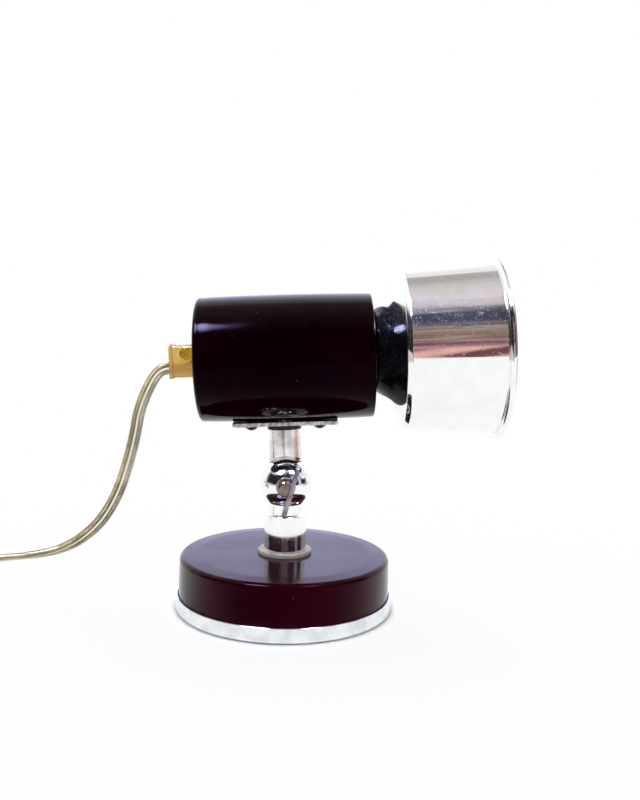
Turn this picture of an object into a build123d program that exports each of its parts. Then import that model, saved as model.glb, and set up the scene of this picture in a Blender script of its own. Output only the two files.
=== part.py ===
from build123d import *
import math
import os

# Tabletop searchlight lamp: a drum housing with a bell reflector, carried on a ball
# swivel that stands on a weighted round base. Millimetres, +Z up. The origin is the
# centre of the base's underside, +X is the way the lamp points when it isn't panned,
# and the front of the swivel, with its lever, faces -Y.

# ------------------------------------------------------------------ fits and gaps
RUNNING = 0.05       # radial clearance of a shaft that turns in a hole
THREAD = 0.03        # radial clearance of a male thread in its female thread
OVER = 1.0           # how far a cut runs past the face that it opens
PASS = 0.15          # radial clearance of a bolt or nipple through a plate
SEAT = 0.02          # gap where a curved wall is pulled against a flat piece

# ------------------------------------------------------------------ base
RING_R = 51.0            # chrome trim ring, outside
RING_H = 7.0             # top of the trim ring over the table
RING_WALL = 1.1
RING_FOOT_W = 6.0        # width of the ring's foot
RING_FOOT_T = 1.2
RING_EDGE_R = 0.5        # rounding of the ring's top edge
PAD_PROUD = 0.4          # how far the pad stands out under the ring
SHELL_T = 1.2
SHELL_TOP = 25.7         # flat top of the base shell over the table
SHELL_DRAFT = 0.6        # how much narrower the shell is at its shoulder
SHELL_CORNER = 2.4       # rounding at the shoulder
SHELL_CROWN_IN = 8.25    # from the shoulder in to where the flat top starts to fall away
SHELL_CROWN_DROP = 0.55  # how far the top has fallen at the shoulder
SHELL_CROWN_BLEND = 40.0
WEIGHT_GAP = 0.8         # between the weight and the shell's side
WEIGHT_H = 13.0          # thickness of the cast weight
WEIGHT_BOSS_R = 14.0     # boss that reaches up to the shell's top
WEIGHT_DRAFT = 1.5       # how much smaller the weight is at its top
NUT_WELL_R = 10.5        # hollow under the weight for the nut
NUT_WELL_H = 6.4
PAD_GAP = 0.3            # between the pad's edge and the ring's foot

# ------------------------------------------------------------------ nipple and collar
NIPPLE_R = 5.0           # M10 x 1 lamp thread
NIPPLE_BORE_R = 3.5
NIPPLE_FOOT = 2.4        # lower end of the base nipple over the table
NIPPLE_GRIP = 5.0        # thread length inside the collar
HEX_AF = 14.0            # spanner size of an M10 x 1 nut
HEX_T = 3.2
LOCK_WASHER_R = 8.0
LOCK_WASHER_T = 0.8
SPACER_R = 12.66         # pale washer under the collar
SPACER_T = 1.7
COLLAR_R = 9.97
COLLAR_H = 17.1
COLLAR_FLOOR = 5.6       # solid bottom of the collar, which the nipple screws into
COLLAR_MOUTH = 0.9       # chamfer in the mouth
COLLAR_EDGE = 0.35       # rounding of its outer edges
NECK_R = 8.2             # neck of the swivel, which turns in the collar

# ------------------------------------------------------------------ pan stop
PAN_RANGE = 160.0        # degrees each way
STOP_UP = 5.5            # centre of the stop screw over the collar's floor
STOP_SCREW_R = 1.5
STOP_SCREW_SINK = 0.35   # how far its end lies inside the collar's outside
STOP_DOG_R = 1.0
STOP_DOG_REACH = 0.8     # how far the dog point reaches into the neck
STOP_GROOVE_DEPTH = 1.15
STOP_GROOVE_H = 2.5
STOP_SLACK = 1.0         # degrees between dog and land at each end of the pan

# ------------------------------------------------------------------ ball swivel
BALL_Z = 59.0            # centre of the ball, on the tilt axis
BALL_R = 12.1
HALF_GAP = 0.05          # from the split plane to each half ball's face
KNUCKLE_R = 13.8         # cut round the tilt axis that clears the other half
NECK_BLEND = 2.6         # blend from half ball to neck or stem
DISC_R = 8.0             # friction disc between the two halves
DISC_T = 0.8
CLAMP_R = 2.5            # shank of the clamp screw, M5
CLAMP_REACH = 7.6        # how far the shank reaches past the split plane
CLAMP_BLIND = 8.6        # depth of its hole past the split plane
SPOT_R = 5.0             # spot face on the near half ball
SPOT_Y = 11.2            # distance of the spot face from the split plane
SPRING_WASHER_R = 4.5
SPRING_WASHER_T = 0.8
CLAMP_HEAD_R = 3.6
CLAMP_HEAD_T = 5.0
CLAMP_HEAD_EDGE = 0.9    # rounding of the head's outer edge
KEY_L = 24.0             # blade of the thumb lever
KEY_T = 2.1
KEY_DEPTH = 8.6
KEY_END_R = 1.2          # rounding of the blade's four corners
KEY_STAND_OFF = 1.2      # from the screw head's underside to the blade
KEY_LEAN = 15.0          # degrees, top of the blade towards +X
KEY_OFFSET = 2.5         # from the screw's axis to the middle of the blade
TILT_REST = 3.137        # degrees that the head points up as it stands

# ------------------------------------------------------------------ stem and plate
STEM_R = 7.45
STEM_TOP = 25.9          # end of the full stem over the ball's centre
STEM_RING_R = 7.95
STEM_RING_T = 2.0
PLATE_L = 48.7
PLATE_W = 17.0
PLATE_T = 1.85
PLATE_X = 0.6            # middle of the plate, ahead of the stem
PLATE_CORNER = 1.5
PLATE_SCREW_SPACING = 32.0
PLATE_SCREW_R = 1.75     # M3.5
PLATE_HEAD_R = 3.0
PLATE_HEAD_H = 2.6
PLATE_HEAD_RIM = 1.0     # straight side of the head under its dome
PLATE_SCREW_END = 0.9    # thread that shows over a nut
PLATE_NUT_AF = 6.0
PLATE_NUT_T = 2.6

# ------------------------------------------------------------------ drum housing
DRUM_L = 80.0
DRUM_X = 1.5             # middle of the drum, ahead of the stem
DRUM_END_R = 28.7
DRUM_CROWN = 0.55        # how much fatter the drum is in the middle
DRUM_T = 1.2
DRUM_EDGE = 1.9          # rounding at the rear wall
DRUM_LIP_EDGE = 0.55     # rounding at the open front
FRONT_T = 1.2            # front disc, pressed into the drum
MOUTH_R = 20.6           # hole in the front disc, round the reflector's neck
OPTIC_UP = 2.18          # the bulb's axis over the drum's axis

# ------------------------------------------------------------------ lampholder
STRAP_T = 2.0
STRAP_W = 16.0
STRAP_BEND = 3.0         # outer radius of its bend
STRAP_REAR = -12.0       # rear face of its upright
STRAP_FRONT = 22.5       # front end of its foot
STRAP_OVER = 9.0         # how far the upright reaches past the bulb's axis
STRAP_CLEAR = 0.1        # between the foot's edges and the drum's wall
HOLDER_CAP_L = 17.0
HOLDER_CAP_R = 9.5       # rear end of the cap
HOLDER_CAP_TAPER = 10.5  # length of the cap's tapered rear
HOLDER_CAP_END_T = 5.0   # threaded rear end of the cap
HOLDER_R = 18.4
HOLDER_WALL = 2.4
HOLDER_BORE_R = 14.1
HOLDER_SKIRT_R = 15.4    # threaded front, for the shade ring
HOLDER_SKIRT_L = 8.0
HOLDER_FLOOR = 8.5       # solid floor under the centre contact
HOLDER_NIPPLE_L = 9.0
SCREW_SHELL_R = 13.9
SCREW_SHELL_T = 0.5
SCREW_SHELL_L = 22.0
CONTACT_FOOT = 9.9       # from the bulb's axis to the fixed end of the contact
CONTACT_BEND = 4.9       # and to its bend
CONTACT_TIP = 3.0        # how far its raised end reaches past the axis
CONTACT_W = 6.0
CONTACT_T = 0.5
CONTACT_RISE = 3.0

# ------------------------------------------------------------------ bell reflector
BELL_T = 1.0
BELL_NECK_R = 18.3       # outside of the neck, in the drum's mouth
BELL_NECK_BACK = 2.3     # how far the neck reaches into the drum
BELL_HOLE_GAP = 0.2      # between its rear flange and the lampholder's skirt
# outline of the flare: distance ahead of the drum's front, and radius
BELL_FLARE = [(0.0, 18.3), (4.3, 21.7), (7.7, 25.4), (9.8, 29.7), (12.1, 36.1)]
BELL_FLARE_START = (0.62, 0, 1.0)    # its slope at the neck: outward, then forward
BELL_FLARE_END = (1.0, 0, 0.36)      # and at the shoulder
BELL_SHOULDER_X = 14.6   # where the flare ends in the cylinder
BELL_SHOULDER_R = 38.0
BELL_SHOULDER_EDGE = 1.8
BELL_MOUTH_X = 56.5      # middle of the rolled bead
BELL_MOUTH_R = 40.5
BEAD_R = 1.7
BEAD_OUT_R = 43.4
RING_NUT_T = 4.5         # shade ring that clamps the reflector's flange
RING_NUT_GAP = 0.3

# ------------------------------------------------------------------ bulb
BULB_BASE_R = 13.1       # medium screw base
BULB_BASE_L = 22.5
BULB_TIP_R = 4.5
BULB_BASE_EDGE = 1.5     # slope at the rear of the base
BULB_TIP_L = 3.0
BULB_NECK_R = 12.4
GLOBE_R = 22.5
BULB_L = 70.0

# ------------------------------------------------------------------ cord grip
GRIP_L = 13.0            # block on the drum's rear wall
GRIP_W = 15.0
GRIP_H = 15.0
GRIP_EDGE = 1.6
GRIP_RIM_L = 1.5         # raised rim at its outer end
GRIP_RIM_OUT = 0.5
GRIP_SPIGOT_R = 5.0
GRIP_SPIGOT_L = 6.0
GRIP_SCREW_R = 1.6
GRIP_SCREW_HEAD_R = 3.7
GRIP_SCREW_HEAD_T = 1.5
GRIP_SCREW_L = 10.5
GRIP_SCREW_IN = 4.3      # screw's distance from the drum's rear wall
GRIP_SCREW_UP = 3.2      # screw's height over the drum's axis
GRIP_SLOT_TURN = 35.0    # degrees that its driver slot is turned
SLOT_W = 0.9             # driver slot of the screws
SLOT_DEPTH = 0.8

# ------------------------------------------------------------------ cord
CORD_W = 5.7             # flat twin cord
CORD_T = 2.9
CORD_EXIT_Z = 111.8      # height of the cord's middle where it leaves the grip
CORD_HEADING = 6.0       # degrees that the cord's plane turns towards the front
CORD_EASE = 0.45         # share of the shorter run that an arc may use
# route in the cord's own upright plane: distance from the exit, height over the table
CORD_ROUTE = [
    (0.0, CORD_EXIT_Z),
    (4.4, 111.3),
    (7.9, 107.7),
    (11.3, 101.0),
    (14.9, 91.3),
    (16.5, 80.2),
    (19.6, 67.0),
    (24.6, 51.3),
    (33.2, 37.0),
    (47.4, 26.5),
    (64.0, 23.1),
    (81.0, 22.2),
    (98.0, 16.8),
    (113.0, 8.55),
    (127.0, 8.55),
]
COIL_TURN_R = 31.0       # to the middle of the bundle of turns
COIL_COLUMNS = 3
COIL_LAYERS = 3
COIL_FROM_SWITCH = 36.0  # from the switch's far end to the coil's centre
LEAD_CLEAR = 0.15        # round the cord in the grip's slot
LEAD_SINK = 0.3          # how far inside the slot the drum's own lead starts

# ------------------------------------------------------------------ switch on the cord
SWITCH_L = 56.0
SWITCH_W = 24.0
SWITCH_TAPER_W = 11.0    # width at its two ends
SWITCH_TAPER_L = 12.6
SWITCH_H = 17.1
SWITCH_SPLIT = 8.55      # height of the joint between its covers
SWITCH_EDGE = 1.6
WHEEL_R = 9.5
WHEEL_T = 4.6
WHEEL_OUT = 1.9          # how far the wheel stands out of the side
WHEEL_GAP = 0.6          # round the wheel inside the covers
WHEEL_PIN_R = 1.8
WHEEL_RIBS = 24
WHEEL_RIB_R = 0.45
SWITCH_SCREW_R = 1.3
SWITCH_SCREW_HEAD_R = 2.4
SWITCH_SCREW_HEAD_T = 1.4
SWITCH_SCREW_IN = 9.0    # from the switch's end to the screw
SWITCH_SCREW_UP = 4.7    # how far its thread reaches into the upper cover

# ------------------------------------------------------------------ plug
PLUG_L = 26.0
PLUG_W = 21.0
PLUG_H = 11.5
PLUG_NOSE = 15.0         # width at the cord's end
PLUG_TAPER_L = 11.7
PLUG_EDGE = 1.5
PLUG_FROM_COIL = 34.0    # from the coil's centre to the plug
BLADE_L = 16.0
BLADE_W = 6.35
BLADE_T = 1.5
BLADE_SPACING = 12.7
BLADE_SUNK = 9.0         # how far the blades reach into the plug
BLADE_TIP = 1.0

# ------------------------------------------------------------------ worked out
RING_FOOT_R = RING_R - RING_FOOT_W
WEIGHT_Z = PAD_PROUD + RING_FOOT_T
SHELL_R = RING_R - RING_WALL - RUNNING
SHELL_SHOULDER_R = SHELL_R - SHELL_DRAFT
SHELL_CROWN_R = SHELL_SHOULDER_R - SHELL_CROWN_IN
COLLAR_Z = SHELL_TOP + SPACER_T
THRUST_Z = COLLAR_Z + COLLAR_FLOOR
COLLAR_TOP = COLLAR_Z + COLLAR_H
STOP_Z = THRUST_Z + STOP_UP
PLATE_Z = STEM_TOP + STEM_RING_T
PLATE_TOP = PLATE_Z + PLATE_T
DRUM_MID_R = DRUM_END_R + DRUM_CROWN
DRUM_UP = PLATE_TOP + DRUM_MID_R + SEAT
DRUM_REAR = DRUM_X - DRUM_L / 2
DRUM_FRONT = DRUM_X + DRUM_L / 2
OPTIC_Z = DRUM_UP + OPTIC_UP
DRUM_BORE_R = DRUM_END_R - DRUM_T
STRAP_Z = DRUM_UP - math.sqrt(DRUM_BORE_R**2 - (STRAP_W / 2) ** 2) + STRAP_CLEAR
HOLDER_REAR = STRAP_REAR + STRAP_T
HOLDER_SHOULDER = DRUM_FRONT - BELL_NECK_BACK
HOLDER_FRONT = HOLDER_SHOULDER + HOLDER_SKIRT_L
HOLDER_SEAT = HOLDER_REAR + HOLDER_CAP_L + HOLDER_FLOOR
BULB_CONTACT = HOLDER_SEAT + CONTACT_RISE
BULB_SHELL_X = BULB_CONTACT + BULB_TIP_L
BULB_GLASS_X = BULB_SHELL_X + BULB_BASE_L
BULB_TIP_X = BULB_CONTACT + BULB_L
CORD_MID_Z = SWITCH_H / 2
COIL_HALF = COIL_COLUMNS * CORD_W / 2
COIL_H = COIL_LAYERS * CORD_W
COIL_IN_R = COIL_TURN_R - COIL_HALF
COIL_OUT_R = COIL_TURN_R + COIL_HALF
COIL_LEAD_R = COIL_OUT_R - CORD_W / 2
SWITCH_START = CORD_ROUTE[-1][0]
SWITCH_MID = SWITCH_START + SWITCH_L / 2
COIL_MID = SWITCH_START + SWITCH_L + COIL_FROM_SWITCH

HEAD = Pos(0, 0, BALL_Z) * Rot(0, -TILT_REST, 0)
FROM_BOTTOM = (Align.CENTER, Align.CENTER, Align.MIN)
ALONG_X = Rot(0, 90, 0)      # turns a piece made up +Z so that it lies along +X
ALONG_Y = Rot(-90, 0, 0)     # and so that it lies along +Y


def head_point(x, y, z):
    """A point of the head, as it stands, from the ball's centre."""
    return (HEAD * Pos(x, y, z)).position


def turned(points, close=True):
    """Solid of revolution about +Z from an outline of (radius, height) points."""
    line = Polyline([(r, 0, z) for r, z in points], close=close)
    return revolve(make_face(line), Axis.Z)


def rod(radius, start, end):
    """Upright cylinder on the Z axis between two heights."""
    return Pos(0, 0, start) * Cylinder(radius, end - start, align=FROM_BOTTOM)


def hexagon(across_flats, start, height):
    """Upright hexagonal bar on the Z axis."""
    outline = RegularPolygon(across_flats / 2, 6, major_radius=False)
    return Pos(0, 0, start) * extrude(outline, height)


def slab(length, width, height, corner):
    """Upright block on the XY plane with rounded corners."""
    return extrude(RectangleRounded(length, width, corner), height)


# ================================================================== base
def trim_ring():
    """Chrome ring with an inward foot that the shell and the weight stand on."""
    wall_r = RING_R - RING_WALL
    ring = turned(
        [
            (RING_FOOT_R, PAD_PROUD),
            (RING_R, PAD_PROUD),
            (RING_R, RING_H),
            (wall_r, RING_H),
            (wall_r, WEIGHT_Z),
            (RING_FOOT_R, WEIGHT_Z),
        ]
    )
    top = ring.edges().filter_by(GeomType.CIRCLE).group_by(Axis.Z)[-1]
    return fillet(top, RING_EDGE_R)


def shell_profile(inset):
    """Half section of the base shell's outside, moved in by a wall."""
    side = SHELL_R - inset
    shoulder = SHELL_SHOULDER_R - inset
    top = SHELL_TOP - inset
    line = Polyline(
        (0, 0, top),
        (SHELL_CROWN_R, 0, top),
        (shoulder, 0, top - SHELL_CROWN_DROP),
        (side, 0, WEIGHT_Z),
        (0, 0, WEIGHT_Z),
        close=True,
    )
    face = make_face(line)
    corner = face.vertices().sort_by_distance((shoulder, 0, top))[0]
    face = fillet(corner, SHELL_CORNER - inset)
    crown = face.vertices().sort_by_distance((SHELL_CROWN_R, 0, top))[0]
    return fillet(crown, SHELL_CROWN_BLEND)


def base_shell():
    """Spun cover of the base, open below."""
    outside = revolve(shell_profile(0), Axis.Z)
    inside = revolve(shell_profile(SHELL_T), Axis.Z)
    return outside - inside - rod(NIPPLE_R + PASS, 0, SHELL_TOP + OVER)


def base_weight():
    """Cast weight with a boss up to the shell's top and a well for the nut."""
    lower_r = SHELL_R - SHELL_T - WEIGHT_GAP
    upper = WEIGHT_Z + WEIGHT_H
    boss_top = SHELL_TOP - SHELL_T
    body = turned(
        [
            (0, WEIGHT_Z),
            (lower_r, WEIGHT_Z),
            (lower_r - WEIGHT_DRAFT, upper),
            (WEIGHT_BOSS_R, upper),
            (WEIGHT_BOSS_R - WEIGHT_DRAFT, boss_top),
            (0, boss_top),
        ]
    )
    well = rod(NUT_WELL_R, WEIGHT_Z - OVER, WEIGHT_Z + NUT_WELL_H)
    return body - well - rod(NIPPLE_R + PASS, 0, SHELL_TOP)


def base_pad():
    """Rubber pad glued under the weight, inside the ring's foot."""
    pad = rod(RING_FOOT_R - PAD_GAP, 0, WEIGHT_Z)
    return chamfer(pad.edges().group_by(Axis.Z)[0], RING_EDGE_R)


def base_nipple():
    """Threaded tube that ties weight, shell, spacer and collar together."""
    top = COLLAR_Z + NIPPLE_GRIP
    return rod(NIPPLE_R, NIPPLE_FOOT, top) - rod(NIPPLE_BORE_R, NIPPLE_FOOT, top)


def base_lock_washer():
    """Washer between the nut and the roof of the weight's well."""
    roof = WEIGHT_Z + NUT_WELL_H
    washer = rod(LOCK_WASHER_R, roof - LOCK_WASHER_T, roof)
    return washer - rod(NIPPLE_R + PASS, 0, roof)


def base_nut():
    """Nut on the lower end of the nipple."""
    top = WEIGHT_Z + NUT_WELL_H - LOCK_WASHER_T
    nut = hexagon(HEX_AF, top - HEX_T, HEX_T)
    return nut - rod(NIPPLE_R + THREAD, 0, top)


def collar_spacer():
    """Pale washer between the base and the collar."""
    spacer = rod(SPACER_R, SHELL_TOP, COLLAR_Z) - rod(NIPPLE_R + PASS, 0, COLLAR_Z)
    rim = spacer.edges().group_by(Axis.Z)[-1].sort_by(SortBy.RADIUS)[-1]
    return fillet(rim, RING_EDGE_R)


def stop_hole(radius, start, end):
    """Cylinder along +Y at the stop screw's height."""
    return Pos(0, start, STOP_Z) * ALONG_Y * Cylinder(
        radius, end - start, align=FROM_BOTTOM
    )


def stem_collar():
    """Chrome bush that the swivel's neck turns in."""
    bore_r = NECK_R + RUNNING
    collar = turned(
        [
            (NIPPLE_R + THREAD, COLLAR_Z),
            (COLLAR_R, COLLAR_Z),
            (COLLAR_R, COLLAR_TOP),
            (bore_r + COLLAR_MOUTH, COLLAR_TOP),
            (bore_r, COLLAR_TOP - COLLAR_MOUTH),
            (bore_r, THRUST_Z),
            (NIPPLE_R + THREAD, THRUST_Z),
        ]
    )
    outer = collar.edges().filter_by(GeomType.CIRCLE).group_by(SortBy.RADIUS)[-1]
    collar = fillet(outer, COLLAR_EDGE)
    return collar - stop_hole(STOP_SCREW_R + THREAD, 0, COLLAR_R + OVER)


def stop_screw():
    """Grub screw whose dog point runs in the neck's groove and ends the pan."""
    outer = COLLAR_R - STOP_SCREW_SINK
    dog_root = NECK_R + RUNNING
    body = stop_hole(STOP_SCREW_R, dog_root, outer)
    dog = stop_hole(STOP_DOG_R, NECK_R - STOP_DOG_REACH, dog_root)
    slot = Pos(0, outer, STOP_Z) * Box(2 * STOP_SCREW_R, SLOT_DEPTH, SLOT_DEPTH / 2)
    return body + dog - slot


# ================================================================== ball swivel
def half_ball(side):
    """Half of the ball on one side of the split plane: side is -1 (front) or 1."""
    half = Pos(0, side * (HALF_GAP + BALL_R), 0) * Box(
        2 * BALL_R, 2 * BALL_R, 2 * BALL_R
    )
    return Sphere(BALL_R) & half


def knuckle_half(side, shank):
    """Half ball with its neck: the shank loses what lies in front of the other half."""
    other = Pos(0, -side * BALL_R, 0) * Box(2 * BALL_R, 2 * BALL_R, 4 * BALL_R)
    swing = ALONG_Y * Cylinder(KNUCKLE_R, 4 * BALL_R)
    clear = Pos(0, side * HALF_GAP, 0) * other
    return half_ball(side) + (shank - (swing & clear))


def blend_neck(body, radius):
    """Blend where the half ball meets the round neck."""
    height = math.sqrt(BALL_R**2 - radius**2)
    seams = [
        e
        for e in body.edges().filter_by(GeomType.CIRCLE)
        if abs(e.radius - radius) < THREAD
        and abs(abs(e.center().Z) - height) < THREAD + HALF_GAP
    ]
    return fillet(seams, NECK_BLEND) if seams else body


def pan_groove():
    """Groove round the neck for the dog point, less the land that stops it."""
    inner = NECK_R - STOP_GROOVE_DEPTH
    dog_half = math.degrees(math.asin(STOP_DOG_R / (NECK_R - STOP_GROOVE_DEPTH)))
    land = 360 - 2 * (PAN_RANGE + dog_half + STOP_SLACK)
    low = STOP_Z - STOP_GROOVE_H / 2
    section = Polyline(
        (inner, 0, low),
        (NECK_R + OVER, 0, low),
        (NECK_R + OVER, 0, low + STOP_GROOVE_H),
        (inner, 0, low + STOP_GROOVE_H),
        close=True,
    )
    groove = revolve(make_face(section), Axis.Z, 360 - land)
    return Rot(0, 0, -90 + land / 2) * groove


def swivel_lower():
    """Front half ball with the neck that turns in the collar."""
    neck = rod(NECK_R, THRUST_Z - BALL_Z, 0)
    half = blend_neck(knuckle_half(-1, neck), NECK_R)
    bore = ALONG_Y * Cylinder(CLAMP_R + RUNNING, 4 * BALL_R)
    spot = Pos(0, -SPOT_Y, 0) * ALONG_Y * Rot(180, 0, 0) * Cylinder(
        SPOT_R, BALL_R, align=FROM_BOTTOM
    )
    seat = Pos(0, HALF_GAP - DISC_T, 0) * ALONG_Y * Cylinder(
        DISC_R + PASS, DISC_T, align=FROM_BOTTOM
    )
    half = half - bore - spot - seat
    return Pos(0, 0, BALL_Z) * half - pan_groove()


def friction_disc():
    """Fibre disc pressed between the two half balls."""
    disc = Cylinder(DISC_R, DISC_T, align=FROM_BOTTOM)
    disc -= Cylinder(CLAMP_R + RUNNING, DISC_T, align=FROM_BOTTOM)
    return Pos(0, HALF_GAP - DISC_T, BALL_Z) * ALONG_Y * disc


def swivel_upper():
    """Rear half ball with the stem, threaded above to take the housing."""
    stem = rod(STEM_R, 0, STEM_TOP)
    half = blend_neck(knuckle_half(1, stem), STEM_R)
    hole = ALONG_Y * Cylinder(CLAMP_R + RUNNING, CLAMP_BLIND, align=FROM_BOTTOM)
    spigot_top = STRAP_Z + STRAP_T + HEX_T + PLATE_SCREW_END
    half = half + rod(NIPPLE_R, STEM_TOP, spigot_top) - hole
    return HEAD * half


def on_clamp_axis(y, shape):
    """Sets a piece made up +Z along the clamp screw's axis, its foot at y."""
    return Pos(0, y, BALL_Z) * ALONG_Y * shape


def key_blade_at_axis():
    """The lever's blade, in the clamp screw's own frame."""
    inner_y = -SPOT_Y - SPRING_WASHER_T - KEY_STAND_OFF
    blade = Box(KEY_T, KEY_DEPTH, KEY_L)
    long_edges = blade.edges().filter_by(Axis.X)
    blade = fillet(long_edges, KEY_END_R)
    blade = Pos(KEY_OFFSET, inner_y - KEY_DEPTH / 2, 0) * blade
    return Pos(0, 0, BALL_Z) * Rot(0, KEY_LEAN, 0) * blade


def clamp_screw():
    """Clamp screw: shank through both halves and a round head with a slot for the key."""
    under_head = -SPOT_Y - SPRING_WASHER_T
    shank = on_clamp_axis(
        under_head,
        Cylinder(CLAMP_R, CLAMP_REACH - under_head, align=FROM_BOTTOM),
    )
    head = Cylinder(CLAMP_HEAD_R, CLAMP_HEAD_T, align=FROM_BOTTOM)
    head = fillet(head.edges().group_by(Axis.Z)[0], CLAMP_HEAD_EDGE)
    head = on_clamp_axis(under_head - CLAMP_HEAD_T, head)
    return shank + head - key_blade_at_axis()


def clamp_key():
    """Flat thumb lever brazed into the slot of the clamp screw's head."""
    return key_blade_at_axis()


def spring_washer():
    """Spring washer between the clamp screw's head and the spot face."""
    washer = Cylinder(SPRING_WASHER_R, SPRING_WASHER_T, align=FROM_BOTTOM)
    washer -= Cylinder(CLAMP_R + PASS, SPRING_WASHER_T, align=FROM_BOTTOM)
    return on_clamp_axis(-SPOT_Y - SPRING_WASHER_T, washer)


# ================================================================== stem and plate
def stem_ring():
    """Dark ring nut between the stem and the mounting plate."""
    ring = rod(STEM_RING_R, STEM_TOP, PLATE_Z)
    return HEAD * (ring - rod(NIPPLE_R + THREAD, STEM_TOP, PLATE_Z))


def plate_screw_places():
    """The two screws' places along the plate, rear first."""
    half = PLATE_SCREW_SPACING / 2
    return [PLATE_X - half, PLATE_X + half]


def mounting_plate():
    """Flat chrome plate under the drum."""
    plate = Pos(PLATE_X, 0, PLATE_Z) * slab(PLATE_L, PLATE_W, PLATE_T, PLATE_CORNER)
    plate -= rod(NIPPLE_R + PASS, 0, PLATE_TOP)
    for x in plate_screw_places():
        plate -= Pos(x, 0, 0) * rod(PLATE_SCREW_R + PASS, 0, PLATE_TOP)
    return HEAD * plate


def plate_nut_seats():
    """Height of each nut's seat: the drum's wall at the rear, the strap in front."""
    corner = PLATE_NUT_AF / 2 / math.cos(math.radians(30))
    wall_r = DRUM_BORE_R
    on_wall = DRUM_UP - math.sqrt(wall_r**2 - corner**2) + STRAP_CLEAR
    return [on_wall, STRAP_Z + STRAP_T]


def plate_screws():
    """Two domed screws up through the plate and the drum's wall."""
    screws = []
    for x, seat in zip(plate_screw_places(), plate_nut_seats()):
        dome_h = PLATE_HEAD_H - PLATE_HEAD_RIM
        dome_r = (PLATE_HEAD_R**2 + dome_h**2) / (2 * dome_h)
        dome = Pos(0, 0, PLATE_Z - PLATE_HEAD_H + dome_r) * Sphere(dome_r)
        head = dome & rod(PLATE_HEAD_R, PLATE_Z - PLATE_HEAD_H, PLATE_Z)
        shank = rod(PLATE_SCREW_R, PLATE_Z, seat + PLATE_NUT_T + PLATE_SCREW_END)
        slot = Pos(0, 0, PLATE_Z - PLATE_HEAD_H) * Box(
            2 * PLATE_HEAD_R, SLOT_W, 2 * SLOT_DEPTH
        )
        screws.append(HEAD * Pos(x, 0, 0) * (head + shank - slot))
    return Compound(children=screws)


def plate_nuts():
    """The two screws' nuts inside the drum."""
    nuts = []
    for x, seat in zip(plate_screw_places(), plate_nut_seats()):
        nut = hexagon(PLATE_NUT_AF, seat, PLATE_NUT_T)
        nut -= rod(PLATE_SCREW_R + THREAD, seat, seat + PLATE_NUT_T)
        nuts.append(HEAD * Pos(x, 0, 0) * nut)
    return Compound(children=nuts)


def stem_nut():
    """Nut that holds plate, drum and strap down on the stem."""
    seat = STRAP_Z + STRAP_T
    nut = hexagon(HEX_AF, seat, HEX_T) - rod(NIPPLE_R + THREAD, seat, seat + HEX_T)
    return HEAD * nut


# ================================================================== drum housing
def drum_profile(inset, rear, front):
    """Half section of the drum about its own axis: crowned side between two ends."""
    end_r = DRUM_END_R - inset
    mid_r = DRUM_MID_R - inset
    side = ThreePointArc((end_r, 0, rear), (mid_r, 0, DRUM_X), (end_r, 0, front))
    ends = Polyline((end_r, 0, front), (0, 0, front), (0, 0, rear), (end_r, 0, rear))
    return revolve(make_face(side + ends), Axis.Z)


def housing_drum():
    """Lacquered drum: rear wall, crowned side and an open front."""
    outside = drum_profile(0, DRUM_REAR, DRUM_FRONT)
    rims = outside.edges().filter_by(GeomType.CIRCLE)
    outside = fillet(rims.group_by(Axis.Z)[0], DRUM_EDGE)
    inside = drum_profile(DRUM_T, DRUM_REAR + DRUM_T, DRUM_FRONT + DRUM_T)
    inside_r = inside.edges().filter_by(GeomType.CIRCLE).group_by(Axis.Z)[0]
    inside = fillet(inside_r, DRUM_EDGE - DRUM_T)
    drum = outside - inside
    lip = drum.edges().filter_by(GeomType.CIRCLE).group_by(Axis.Z)[-1]
    drum = fillet(lip.sort_by(SortBy.RADIUS)[-1], DRUM_LIP_EDGE)
    drum = Pos(0, 0, DRUM_UP) * ALONG_X * drum
    cord_hole = rod(GRIP_SPIGOT_R + PASS, DRUM_REAR - OVER, DRUM_REAR + DRUM_T + OVER)
    drum -= Pos(0, 0, exit_height()) * ALONG_X * cord_hole
    drum -= rod(NIPPLE_R + PASS, 0, DRUM_UP)
    for x in plate_screw_places():
        drum -= Pos(x, 0, 0) * rod(PLATE_SCREW_R + PASS, 0, DRUM_UP)
    return HEAD * drum


def housing_front():
    """Dark disc pressed into the drum's open front, with the reflector's mouth."""
    disc_r = DRUM_BORE_R - THREAD
    disc = ALONG_X * Cylinder(disc_r, FRONT_T, align=FROM_BOTTOM)
    mouth = Pos(0, 0, OPTIC_UP) * ALONG_X * Cylinder(
        MOUTH_R, FRONT_T, align=FROM_BOTTOM
    )
    return HEAD * Pos(DRUM_FRONT - FRONT_T, 0, DRUM_UP) * (disc - mouth)


# ================================================================== lampholder
def on_optic_axis(x, shape):
    """Sets a piece made up +Z along the bulb's axis, its foot at x."""
    return HEAD * Pos(x, 0, OPTIC_Z) * ALONG_X * shape


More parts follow.
